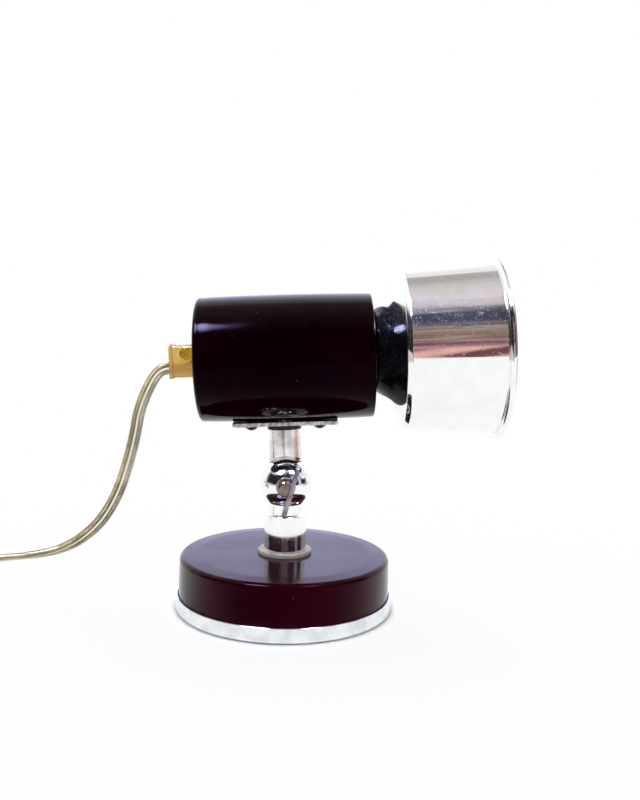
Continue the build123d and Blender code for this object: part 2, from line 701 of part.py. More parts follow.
def holder_strap():
    """Bent steel strap: the foot is clamped to the drum, the upright holds the lampholder."""
    top = OPTIC_Z + STRAP_OVER
    side = Polyline(
        (STRAP_REAR, 0, STRAP_Z),
        (STRAP_FRONT, 0, STRAP_Z),
        (STRAP_FRONT, 0, STRAP_Z + STRAP_T),
        (STRAP_REAR + STRAP_T, 0, STRAP_Z + STRAP_T),
        (STRAP_REAR + STRAP_T, 0, top),
        (STRAP_REAR, 0, top),
        close=True,
    )
    face = make_face(side)
    outer = face.vertices().sort_by_distance((STRAP_REAR, 0, STRAP_Z))[0]
    face = fillet(outer, STRAP_BEND)
    inner_place = (STRAP_REAR + STRAP_T, 0, STRAP_Z + STRAP_T)
    inner = face.vertices().sort_by_distance(inner_place)[0]
    face = fillet(inner, STRAP_BEND - STRAP_T)
    strap = extrude(face, STRAP_W / 2, both=True)
    strap -= rod(NIPPLE_R + PASS, 0, STRAP_Z + STRAP_T)
    front_screw = plate_screw_places()[1]
    strap -= Pos(front_screw, 0, 0) * rod(PLATE_SCREW_R + PASS, 0, OPTIC_Z)
    hole = ALONG_X * Cylinder(NIPPLE_R + PASS, 4 * STRAP_T)
    strap -= Pos(STRAP_REAR, 0, OPTIC_Z) * hole
    return HEAD * strap


def holder_nipple():
    """Short threaded tube that fixes the lampholder to the strap."""
    back = HOLDER_REAR - STRAP_T - HEX_T - THREAD
    tube = rod(NIPPLE_R, 0, HOLDER_NIPPLE_L) - rod(NIPPLE_BORE_R, 0, HOLDER_NIPPLE_L)
    return on_optic_axis(back, tube)


def holder_nut():
    """Nut behind the strap's upright."""
    nut = hexagon(HEX_AF, 0, HEX_T) - rod(NIPPLE_R + THREAD, 0, HEX_T)
    return on_optic_axis(STRAP_REAR - HEX_T, nut)


def holder_cap():
    """Rear cap of the lampholder, screwed on the nipple."""
    cap = turned(
        [
            (0, 0),
            (HOLDER_CAP_R, 0),
            (HOLDER_R, HOLDER_CAP_TAPER),
            (HOLDER_R, HOLDER_CAP_L),
            (0, HOLDER_CAP_L),
        ]
    )
    hollow = turned(
        [
            (0, HOLDER_CAP_END_T),
            (HOLDER_CAP_R, HOLDER_CAP_END_T),
            (HOLDER_R - HOLDER_WALL, HOLDER_CAP_TAPER + HOLDER_WALL / 2),
            (HOLDER_R - HOLDER_WALL, HOLDER_CAP_L),
            (0, HOLDER_CAP_L),
        ]
    )
    bore = rod(NIPPLE_R + THREAD, 0, HOLDER_CAP_END_T)
    return on_optic_axis(HOLDER_REAR, cap - hollow - bore)


def holder_body():
    """Lampholder cup: floor, wall, shoulder for the reflector and threaded skirt."""
    rear = HOLDER_REAR + HOLDER_CAP_L
    floor = HOLDER_SEAT - rear
    shoulder = HOLDER_SHOULDER - rear
    front = HOLDER_FRONT - rear
    body = turned(
        [
            (0, 0),
            (HOLDER_R, 0),
            (HOLDER_R, shoulder),
            (HOLDER_SKIRT_R, shoulder),
            (HOLDER_SKIRT_R, front),
            (HOLDER_BORE_R, front),
            (HOLDER_BORE_R, floor),
            (0, floor),
        ]
    )
    lip = body.edges().filter_by(GeomType.CIRCLE).group_by(Axis.Z)[-1]
    return on_optic_axis(rear, fillet(lip, RING_EDGE_R))


def screw_shell():
    """Brass screw shell of the lampholder, standing on its floor."""
    shell = rod(SCREW_SHELL_R, 0, SCREW_SHELL_L)
    shell -= rod(SCREW_SHELL_R - SCREW_SHELL_T, 0, SCREW_SHELL_L)
    return on_optic_axis(HOLDER_SEAT, shell)


def centre_contact():
    """Bent spring tongue under the bulb's tip."""
    strip = Polyline(
        (-CONTACT_FOOT, 0, 0),
        (-CONTACT_BEND, 0, 0),
        (CONTACT_TIP, 0, CONTACT_RISE - CONTACT_T),
        (CONTACT_TIP, 0, CONTACT_RISE),
        (-CONTACT_BEND, 0, CONTACT_T),
        (-CONTACT_FOOT, 0, CONTACT_T),
        close=True,
    )
    tongue = extrude(make_face(strip), CONTACT_W / 2, both=True)
    return on_optic_axis(HOLDER_SEAT, tongue)


def shade_ring():
    """Ring that clamps the reflector's flange against the lampholder's shoulder."""
    ring = rod(BELL_NECK_R - BELL_T - RING_NUT_GAP, 0, RING_NUT_T)
    ring -= rod(HOLDER_SKIRT_R + THREAD, 0, RING_NUT_T)
    return on_optic_axis(HOLDER_SHOULDER + BELL_T, ring)


# ================================================================== bell reflector
def circles_at(shape, radius):
    """Circular edges of a turned shape that have the given radius."""
    circles = shape.edges().filter_by(GeomType.CIRCLE)
    return [edge for edge in circles if abs(edge.radius - radius) < THREAD]


def reflector_bell():
    """Spun bell: rear flange, neck, flare, tapered cylinder and rolled bead."""
    front = DRUM_FRONT - HOLDER_SHOULDER
    neck = (BELL_NECK_R, 0, 0)
    flare = [(r, 0, front + x) for x, r in BELL_FLARE]
    shoulder = (BELL_SHOULDER_R, 0, front + BELL_SHOULDER_X)
    mouth = (BELL_MOUTH_R, 0, front + BELL_MOUTH_X)
    outline = (
        Polyline((0, 0, 0), neck, flare[0])
        + Spline(flare, tangents=[BELL_FLARE_START, BELL_FLARE_END])
        + Polyline(flare[-1], shoulder, mouth, (0, 0, mouth[2]), (0, 0, 0))
    )
    solid = revolve(make_face(outline), Axis.Z)
    solid = fillet(circles_at(solid, BELL_SHOULDER_R), BELL_SHOULDER_EDGE)
    opening = solid.faces().sort_by(Axis.Z)[-1]
    bell = offset(solid, -BELL_T, openings=opening)
    bell -= rod(HOLDER_SKIRT_R + BELL_HOLE_GAP, -OVER, BELL_T + OVER)
    bead = Pos(0, 0, mouth[2]) * Torus(BEAD_OUT_R - BEAD_R, BEAD_R)
    return on_optic_axis(HOLDER_SHOULDER, bell + bead)


# ================================================================== bulb
def bulb_base():
    """Screw base with its centre contact."""
    base = turned(
        [
            (0, 0),
            (BULB_TIP_R, 0),
            (BULB_BASE_R - BULB_BASE_EDGE, BULB_TIP_L),
            (BULB_BASE_R, BULB_TIP_L + BULB_BASE_EDGE),
            (BULB_BASE_R, BULB_TIP_L + BULB_BASE_L),
            (0, BULB_TIP_L + BULB_BASE_L),
        ]
    )
    return on_optic_axis(BULB_CONTACT, base)


def bulb_glass():
    """Glass globe on its short neck."""
    globe_mid = BULB_L - GLOBE_R
    base_top = BULB_TIP_L + BULB_BASE_L
    neck = rod(BULB_NECK_R, base_top, globe_mid)
    globe = Pos(0, 0, globe_mid) * Sphere(GLOBE_R)
    below = rod(GLOBE_R + OVER, base_top - GLOBE_R, base_top)
    return on_optic_axis(BULB_CONTACT, globe + neck - below)


# ================================================================== cord grip
def exit_height():
    """Height of the cord's middle in the head's frame, at the grip's outer face."""
    outer = DRUM_REAR - GRIP_L
    lean = math.radians(TILT_REST)
    return (CORD_EXIT_Z - BALL_Z - outer * math.sin(lean)) / math.cos(lean)


def cord_section(extra=0.0):
    """Flat cord's section on the XY plane, its width along X."""
    return SlotOverall(CORD_W + 2 * extra, CORD_T + 2 * extra)


def cord_grip():
    """Amber block on the rear wall: slot for the cord, rim, and spigot with a thread."""
    outer = DRUM_REAR - GRIP_L
    block = slab(GRIP_H, GRIP_W, GRIP_L, GRIP_EDGE)
    rim_h = GRIP_H + 2 * GRIP_RIM_OUT
    rim_w = GRIP_W + 2 * GRIP_RIM_OUT
    rim = slab(rim_h, rim_w, GRIP_RIM_L, GRIP_EDGE)
    grip = Pos(outer, 0, DRUM_UP) * ALONG_X * (block + rim)
    spigot = ALONG_X * Cylinder(GRIP_SPIGOT_R, GRIP_SPIGOT_L, align=FROM_BOTTOM)
    grip += Pos(DRUM_REAR, 0, exit_height()) * spigot
    passage = extrude(cord_section(LEAD_CLEAR), GRIP_L + GRIP_SPIGOT_L)
    grip -= Pos(outer, 0, exit_height()) * ALONG_X * passage
    screw_x = DRUM_REAR - GRIP_SCREW_IN
    hole = Cylinder(GRIP_SCREW_R + THREAD, GRIP_SCREW_L, align=FROM_BOTTOM)
    grip -= Pos(screw_x, -GRIP_W / 2, DRUM_UP + GRIP_SCREW_UP) * ALONG_Y * hole
    return HEAD * grip


def grip_screw():
    """Brass screw in the grip's front side."""
    screw_x = DRUM_REAR - GRIP_SCREW_IN
    shank = Cylinder(GRIP_SCREW_R, GRIP_SCREW_L - THREAD, align=FROM_BOTTOM)
    head = Pos(0, 0, -GRIP_SCREW_HEAD_T) * Cylinder(
        GRIP_SCREW_HEAD_R, GRIP_SCREW_HEAD_T, align=FROM_BOTTOM
    )
    head = fillet(head.edges().group_by(Axis.Z)[0], GRIP_SCREW_HEAD_T / 2)
    slot = Pos(0, 0, -GRIP_SCREW_HEAD_T) * Rot(0, 0, GRIP_SLOT_TURN) * Box(
        2 * GRIP_SCREW_HEAD_R, SLOT_W, 2 * SLOT_DEPTH
    )
    place = Pos(screw_x, -GRIP_W / 2, DRUM_UP + GRIP_SCREW_UP) * ALONG_Y
    return HEAD * place * (shank + head - slot)


def grip_nut():
    """Nut on the grip's spigot inside the drum."""
    start = DRUM_REAR + DRUM_T
    nut = hexagon(HEX_AF, 0, HEX_T) - rod(GRIP_SPIGOT_R + THREAD, 0, HEX_T)
    return HEAD * Pos(start, 0, exit_height()) * ALONG_X * nut


def lead_inside():
    """The cord's end inside the drum, from just inside the grip to the lampholder."""
    start = DRUM_REAR - GRIP_L + LEAD_SINK
    end = HOLDER_REAR - STRAP_T - HEX_T - THREAD
    straight = DRUM_REAR + GRIP_SPIGOT_L + OVER
    low = exit_height()
    path = Spline(
        (straight, 0, low),
        (end, 0, OPTIC_Z),
        tangents=[(1, 0, 0), (1, 0, 0)],
    )
    inner = Pos(start, 0, low) * ALONG_X * extrude(cord_section(), straight - start)
    section = Plane((straight, 0, low), x_dir=(0, 0, 1), z_dir=(1, 0, 0))
    bend = sweep(section * cord_section(), path)
    return HEAD * (inner + bend)


# ================================================================== cord
def in_cord_plane(shape):
    """From the cord's own frame: +X away from the lamp, +Y to its left, +Z up."""
    start = head_point(DRUM_REAR - GRIP_L, 0, exit_height())
    return Pos(start.X, start.Y, 0) * Rot(0, 0, 180 + CORD_HEADING) * shape


def route_radii(points):
    """Radius of the arc at each inner point of a route, from its two runs."""
    radii = []
    for before, here, after in zip(points, points[1:], points[2:]):
        first = here - before
        second = after - here
        half_turn = math.radians(first.get_angle(second)) / 2
        shorter = min(first.length, second.length)
        radii.append(CORD_EASE * shorter / math.tan(half_turn))
    return radii


def cord_tube():
    """The free cord from the grip to the switch: straight runs joined by arcs."""
    points = [Vector(x, 0, z) for x, z in CORD_ROUTE]
    radii = route_radii(points)
    path = FilletPolyline(points, radius=radii)
    out = path.tangent_at(0)
    start = Plane(points[0], x_dir=out.cross(Vector(0, 1, 0)), z_dir=out)
    tube = sweep(start * cord_section(), path)
    swept = cord_section().area * path.length
    print("cord radii", [round(radius, 1) for radius in radii])
    print(f"cord {path.length:.1f} mm, volume {tube.volume:.1f} for {swept:.1f}")
    return in_cord_plane(tube)


def cord_coil():
    """Outer shape of the rest of the cord, wound up, with its two straight ends."""
    ring = rod(COIL_OUT_R, 0, COIL_H) - rod(COIL_IN_R, 0, COIL_H)
    from_end = (Align.MAX, Align.CENTER, Align.CENTER)
    lead = Box(COIL_FROM_SWITCH, CORD_T, CORD_W, align=from_end)
    lead = Pos(0, COIL_LEAD_R, CORD_MID_Z) * lead
    tail = Box(PLUG_FROM_COIL, CORD_T, CORD_W, align=from_end)
    tail = Pos(0, -COIL_LEAD_R, PLUG_H / 2) * tail
    return in_cord_plane(Pos(COIL_MID, -COIL_LEAD_R, 0) * (ring + lead + tail))


# ================================================================== switch on the cord
def switch_blank(height):
    """Outline of the switch, narrower at its two ends, as an upright block."""
    half = SWITCH_L / 2
    wide = half - SWITCH_TAPER_L
    outline = Polyline(
        (-half, SWITCH_TAPER_W / 2),
        (-wide, SWITCH_W / 2),
        (wide, SWITCH_W / 2),
        (half, SWITCH_TAPER_W / 2),
        (half, -SWITCH_TAPER_W / 2),
        (wide, -SWITCH_W / 2),
        (-wide, -SWITCH_W / 2),
        (-half, -SWITCH_TAPER_W / 2),
        close=True,
    )
    block = extrude(make_face(outline), height)
    return fillet(block.edges().filter_by(Axis.Z), SWITCH_EDGE)


def wheel_y():
    """Distance of the wheel's axis from the switch's middle, towards the front."""
    return SWITCH_W / 2 + WHEEL_OUT - WHEEL_R


def wheel_room():
    """Space inside the covers in which the wheel turns."""
    low = SWITCH_SPLIT - WHEEL_T / 2 - WHEEL_GAP
    high = SWITCH_SPLIT + WHEEL_T / 2 + WHEEL_GAP
    return Pos(0, wheel_y(), 0) * rod(WHEEL_R + WHEEL_RIB_R + WHEEL_GAP, low, high)


def switch_screw_places():
    """The two cover screws' places, at opposite corners."""
    x = SWITCH_L / 2 - SWITCH_SCREW_IN
    y = SWITCH_TAPER_W / 2 - SWITCH_SCREW_HEAD_R
    return [(x, y), (-x, -y)]


def screw_columns(radius, start, end):
    """Upright cylinders at the cover screws."""
    columns = [Pos(x, y, 0) * rod(radius, start, end) for x, y in switch_screw_places()]
    return columns[0] + columns[1]


def switch_place(shape):
    """Sets a piece of the switch on the cord."""
    return in_cord_plane(Pos(SWITCH_MID, 0, 0) * shape)


def switch_base():
    """Lower cover with the wheel's pin."""
    base = switch_blank(SWITCH_SPLIT)
    base = fillet(base.faces().sort_by(Axis.Z)[0].edges(), SWITCH_EDGE / 2)
    base -= wheel_room()
    pin_top = SWITCH_SPLIT + WHEEL_T / 2
    pin_foot = SWITCH_SPLIT - WHEEL_T / 2 - WHEEL_GAP
    base += Pos(0, wheel_y(), 0) * rod(WHEEL_PIN_R, pin_foot, pin_top)
    head_top = SWITCH_SCREW_HEAD_T
    base -= screw_columns(SWITCH_SCREW_HEAD_R + PASS, -OVER, head_top)
    base -= screw_columns(SWITCH_SCREW_R + PASS, 0, SWITCH_SPLIT)
    return switch_place(base)


def switch_cover():
    """Upper cover of the switch."""
    cover = switch_blank(SWITCH_H - SWITCH_SPLIT)
    cover = fillet(cover.faces().sort_by(Axis.Z)[-1].edges(), SWITCH_EDGE)
    cover = Pos(0, 0, SWITCH_SPLIT) * cover - wheel_room()
    screw_end = SWITCH_SPLIT + SWITCH_SCREW_UP
    cover -= screw_columns(SWITCH_SCREW_R + THREAD, SWITCH_SPLIT, screw_end)
    return switch_place(cover)


def switch_wheel():
    """Ribbed thumb wheel that stands out of the switch's side."""
    low = SWITCH_SPLIT - WHEEL_T / 2
    wheel = rod(WHEEL_R, low, low + WHEEL_T)
    for i in range(WHEEL_RIBS):
        rib = Pos(WHEEL_R, 0, 0) * rod(WHEEL_RIB_R, low, low + WHEEL_T)
        wheel += Rot(0, 0, i * 360 / WHEEL_RIBS) * rib
    wheel -= rod(WHEEL_PIN_R + RUNNING, low, low + WHEEL_T)
    return switch_place(Pos(0, wheel_y(), 0) * wheel)


def switch_screws():
    """Two screws that hold the covers together, from below."""
    top = SWITCH_SPLIT + SWITCH_SCREW_UP - THREAD
    screws = []
    for x, y in switch_screw_places():
        shank = rod(SWITCH_SCREW_R, THREAD, top)
        head = rod(SWITCH_SCREW_HEAD_R, THREAD, SWITCH_SCREW_HEAD_T)
        screws.append(switch_place(Pos(x, y, 0) * (shank + head)))
    return Compound(children=screws)


# ================================================================== plug
def plug_place(shape):
    """From the plug's own frame: +X the way the blades point, origin at its cord end."""
    side = -2 * COIL_LEAD_R
    return in_cord_plane(Pos(COIL_MID - PLUG_FROM_COIL, side, 0) * Rot(0, 0, 180) * shape)


def blade_boxes(length):
    """The two blades, flat ways facing each other, from their seats in the plug."""
    start = PLUG_L - BLADE_SUNK
    blade = Box(length, BLADE_T, BLADE_W, align=(Align.MIN, Align.CENTER, Align.CENTER))
    sides = (-BLADE_SPACING / 2, BLADE_SPACING / 2)
    return [Pos(start, side, PLUG_H / 2) * blade for side in sides]


def plug_body():
    """Flat two-pin plug, narrower at the cord."""
    outline = Polyline(
        (0, PLUG_NOSE / 2),
        (PLUG_TAPER_L, PLUG_W / 2),
        (PLUG_L, PLUG_W / 2),
        (PLUG_L, -PLUG_W / 2),
        (PLUG_TAPER_L, -PLUG_W / 2),
        (0, -PLUG_NOSE / 2),
        close=True,
    )
    body = extrude(make_face(outline), PLUG_H)
    body = fillet(body.edges().filter_by(Axis.Z), PLUG_EDGE)
    body = chamfer(body.faces().sort_by(Axis.Z)[-1].edges(), PLUG_EDGE / 2)
    for pocket in blade_boxes(BLADE_SUNK):
        body -= pocket
    return plug_place(body)


def plug_blades():
    """Two brass blades, seated in the plug."""
    blades = []
    for blade in blade_boxes(BLADE_SUNK + BLADE_L):
        tip = blade.faces().sort_by(Axis.X)[-1].edges().filter_by(Axis.Y)
        blades.append(plug_place(chamfer(tip, BLADE_TIP)))
    return Compound(children=blades)


PARTS = {
    "base_trim_ring": trim_ring,
    "base_shell": base_shell,
    "base_weight": base_weight,
    "base_pad": base_pad,
    "base_nipple": base_nipple,
    "base_lock_washer": base_lock_washer,
    "base_nut": base_nut,
    "collar_spacer": collar_spacer,
    "stem_collar": stem_collar,
    "stop_screw": stop_screw,
    "swivel_lower": swivel_lower,
    "friction_disc": friction_disc,
    "swivel_upper": swivel_upper,
    "clamp_screw": clamp_screw,
    "clamp_key": clamp_key,
    "spring_washer": spring_washer,
    "stem_ring": stem_ring,
    "mounting_plate": mounting_plate,
    "plate_screws": plate_screws,
    "plate_nuts": plate_nuts,
    "stem_nut": stem_nut,
    "housing_drum": housing_drum,
    "housing_front": housing_front,
    "holder_strap": holder_strap,
    "holder_nipple": holder_nipple,
    "holder_nut": holder_nut,
    "holder_cap": holder_cap,
    "holder_body": holder_body,
    "screw_shell": screw_shell,
    "centre_contact": centre_contact,
    "shade_ring": shade_ring,
    "reflector_bell": reflector_bell,
    "bulb_base": bulb_base,
    "bulb_glass": bulb_glass,
    "cord_grip": cord_grip,
    "grip_screw": grip_screw,
    "grip_nut": grip_nut,
    "lead_inside": lead_inside,
    "cord_tube": cord_tube,
    "cord_coil": cord_coil,
    "switch_base": switch_base,
    "switch_cover": switch_cover,
    "switch_wheel": switch_wheel,
    "switch_screws": switch_screws,
    "plug_body": plug_body,
    "plug_blades": plug_blades,
}


def main():
    os.makedirs("parts", exist_ok=True)
    for name, make in PARTS.items():
        export_step(make(), f"parts/{name}.step")


main()
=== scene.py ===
"""Searchlight table lamp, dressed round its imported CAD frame.

A lacquered drum with a chromed bell reflector stands on a ball swivel over a round
weighted base. Everything is in metres in the frame of the CAD model: the origin is the
centre of the base's underside, +X is the way the lamp points and +Z is up.
"""

import logging
import math
from collections.abc import Callable, Sequence
from dataclasses import dataclass
from enum import Enum

import bmesh
import bpy
import numpy as np
from mathutils import Matrix, Vector


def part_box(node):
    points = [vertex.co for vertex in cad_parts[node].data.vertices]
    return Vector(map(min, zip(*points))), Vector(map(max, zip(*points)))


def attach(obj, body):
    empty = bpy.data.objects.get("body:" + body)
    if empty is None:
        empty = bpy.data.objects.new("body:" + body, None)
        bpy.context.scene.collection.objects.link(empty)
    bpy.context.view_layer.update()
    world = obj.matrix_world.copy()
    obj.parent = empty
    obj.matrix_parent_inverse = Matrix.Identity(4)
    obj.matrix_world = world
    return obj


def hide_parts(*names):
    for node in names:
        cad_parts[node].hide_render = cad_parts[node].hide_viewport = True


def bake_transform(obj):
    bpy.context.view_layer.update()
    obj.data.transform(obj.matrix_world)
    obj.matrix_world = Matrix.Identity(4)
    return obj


LOG = logging.getLogger("searchlight")
MM = 0.001
IDENTITY_TOLERANCE = 1e-7
# the two colour inputs of a node that mixes colours
MIX_A, MIX_B = 6, 7

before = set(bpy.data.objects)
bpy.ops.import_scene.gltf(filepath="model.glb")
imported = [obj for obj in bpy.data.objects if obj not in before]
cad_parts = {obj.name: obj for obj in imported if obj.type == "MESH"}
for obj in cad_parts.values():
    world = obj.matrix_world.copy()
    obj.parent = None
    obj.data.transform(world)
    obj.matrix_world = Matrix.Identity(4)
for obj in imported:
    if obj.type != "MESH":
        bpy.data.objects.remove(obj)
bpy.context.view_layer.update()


# ------------------------------------------------------------------ small helpers
def linear(code: str) -> tuple[float, float, float, float]:
    """Turns an sRGB hex code into a linear colour.

    Args:
        code: Six hex digits after a hash sign.

    Returns:
        Red, green, blue and an alpha of one.
    """
    srgb = np.array([int(code[i : i + 2], 16) for i in (1, 3, 5)]) / 255
    low = srgb / 12.92
    high = ((srgb + 0.055) / 1.055) ** 2.4
    red, green, blue = np.where(srgb <= 0.04045, low, high)
    return float(red), float(green), float(blue), 1.0


def feed(node: bpy.types.Node, values: dict) -> None:
    """Gives a node its settings and its incoming links.

    Args:
        node: The node.
        values: What goes in, by attribute name, or by input name or number. A socket is
            linked, and a node stands for its first output in use. A hex code becomes a
            linear colour, a pair for From or To sets both ends of a range, and stops
            are the places and hex codes along a colour ramp.
    """
    for key, value in values.items():
        if isinstance(value, bpy.types.Node):
            value = next(end for end in value.outputs if end.enabled)
        elif isinstance(value, str) and value.startswith("#"):
            value = linear(value)
        if isinstance(value, bpy.types.NodeSocket):
            node.id_data.links.new(value, node.inputs[key])
        elif key == "stops":
            elements = node.color_ramp.elements
            while len(elements) < len(value):
                elements.new(1.0)
            for element, (place, code) in zip(elements, value):
                element.position = place
                element.color = linear(code)
        elif key in ("From", "To"):
            for end, number in zip((" Min", " Max"), value):
                node.inputs[key + end].default_value = number
        elif isinstance(key, str) and hasattr(node, key):
            setattr(node, key, value)
        else:
            node.inputs[key].default_value = value


def add(tree: bpy.types.NodeTree, kind: str, values: dict | None = None) -> bpy.types.Node:
    """Adds a node with its settings and its incoming links.

    Args:
        tree: Node tree of a material or the world.
        kind: Node type's identifier, without the ShaderNode in front.
        values: What goes into it, as feed takes it.

    Returns:
        The new node.
    """
    node = tree.nodes.new("ShaderNode" + kind)
    feed(node, values or {})
    return node


def linked(name: str, data: bpy.types.ID) -> bpy.types.Object:
    """Makes an object of some data and links it to the scene.

    Args:
        name: Object's name.
        data: Mesh, curve, camera or light.

    Returns:
        The new object.
    """
    obj = bpy.data.objects.new(name, data)
    bpy.context.scene.collection.objects.link(obj)
    return obj


# ------------------------------------------------------------------ patterns
@dataclass(frozen=True)
class Patches:
    """Soft patches of a real size, and a value that changes from one to the next.

    The value goes from the first to the second of values where the clouds go from the
    first to the second of between.
    """

    size: float
    detail: float
    between: tuple[float, float]
    values: tuple[float, float]
    stretch: tuple[float, float, float] = (1.0, 1.0, 1.0)


def clouds(
    tree: bpy.types.NodeTree,
    place: bpy.types.NodeSocket,
    size: float,
    detail: float,
    stretch: tuple[float, float, float] = (1.0, 1.0, 1.0),
) -> bpy.types.Node:
    """Soft blobs of a real size, drawn out along the axes where that is asked.

    Args:
        tree: Node tree of the material.
        place: Vector socket in metres.
        size: Size of a blob in metres.
        detail: Octaves of finer blobs.
        stretch: How much longer than size the blobs are along each axis.

    Returns:
        A node whose output is about 0 to 1.
    """
    if stretch != (1.0, 1.0, 1.0):
        place = add(tree, "Mapping", {0: place, "Scale": tuple(1.0 / s for s in stretch)})
    return add(tree, "TexNoise", {"Vector": place, "Scale": 1.0 / size, "Detail": detail})


def patchy(
    tree: bpy.types.NodeTree, place: bpy.types.NodeSocket, patches: Patches
) -> bpy.types.Node:
    """A value that changes from patch to patch.

    Args:
        tree: Node tree of the material.
        place: Vector socket in metres.
        patches: Size of the patches and range of the value.

    Returns:
        A node whose output is the value.
    """
    cloud = clouds(tree, place, patches.size, patches.detail, patches.stretch)
    return add(tree, "MapRange", {0: cloud, "From": patches.between, "To": patches.values})


def mottled(
    tree: bpy.types.NodeTree,
    place: bpy.types.NodeSocket,
    size: float,
    detail: float,
    stops: Sequence[tuple[float, str]],
) -> bpy.types.Node:
    """A colour that changes softly from patch to patch.

    Args:
        tree: Node tree of the material.
        place: Vector socket in metres.
        size: Size of a patch in metres.
        detail: Octaves of finer patches.
        stops: Level of the clouds and hex code of each tone, in rising order.

    Returns:
        A node whose output is the colour.
    """
    return add(tree, "ValToRGB", {0: clouds(tree, place, size, detail), "stops": stops})


def scratches(
    tree: bpy.types.NodeTree,
    place: bpy.types.NodeSocket,
    turn: float,
    size: tuple[float, float],
    share: float,
) -> bpy.types.Node:
    """Fine straight scratches in one direction.

    Clouds that are stretched along one turned axis are cut off near their top, so that
    only thin slivers of them are left.

    Args:
        tree: Node tree of the material.
        place: Vector socket in metres.
        turn: Direction of the scratches about Y, in radians.
        size: Width and length of a scratch in metres.
        share: How much of the surface they cover, about 0 to 1.

    Returns:
        A node whose output is one in a scratch and zero beside it.
    """
    width, length = size
    turned = add(tree, "Mapping", {0: place, "Rotation": (0.0, turn, 0.0)})
    edge = 0.80 - 0.25 * share
    stretch = (length / width, 1.0, 1.0)
    slivers = Patches(width, 0.0, (edge, edge + 0.03), (0.0, 1.0), stretch)
    return patchy(tree, turned, slivers)


def grained(
    tree: bpy.types.NodeTree,
    shader: bpy.types.Node,
    place: bpy.types.NodeSocket,
    grain: tuple[float, float],
    roughness: tuple[float, float],
    depth: float,
    strength: float,
) -> None:
    """Gives a shader a fine grain in its roughness and its height.

    Args:
        tree: Node tree of the material.
        shader: Principled shader.
        place: Vector socket in metres.
        grain: Size of the grain in metres, and its detail.
        roughness: Least and greatest roughness.
        depth: Depth of the grain in metres.
        strength: Share of that depth that shows.
    """
    fine = clouds(tree, place, *grain)
    rough = add(tree, "MapRange", {0: fine, "From": (0.3, 0.7), "To": roughness})
    skin = add(tree, "Bump", {"Height": fine, "Distance": depth, "Strength": strength})
    feed(shader, {"Roughness": rough, "Normal": skin})


# ------------------------------------------------------------------ finishes
@dataclass(frozen=True)
class Finish:
    """A procedural material that belongs to one of the record's slots."""

    slot: str
    colour: str

    def shade(self, tree: bpy.types.NodeTree, shader: bpy.types.Node) -> None:
        """Sets up the principled shader; each finish has its own.

        Args:
            tree: Node tree of the material.
            shader: Its principled shader.
        """

    def material(self) -> bpy.types.Material:
        """Makes the finish's material, or finds the one that is made already.

        Returns:
            The material.
        """
        name = "_".join((type(self).__name__, self.slot, self.colour.lstrip("#")))
        made = bpy.data.materials.get(name)
        if made is None:
            made = bpy.data.materials.new(name)
            made.use_nodes = True
            self.shade(made.node_tree, made.node_tree.nodes["Principled BSDF"])
        return made


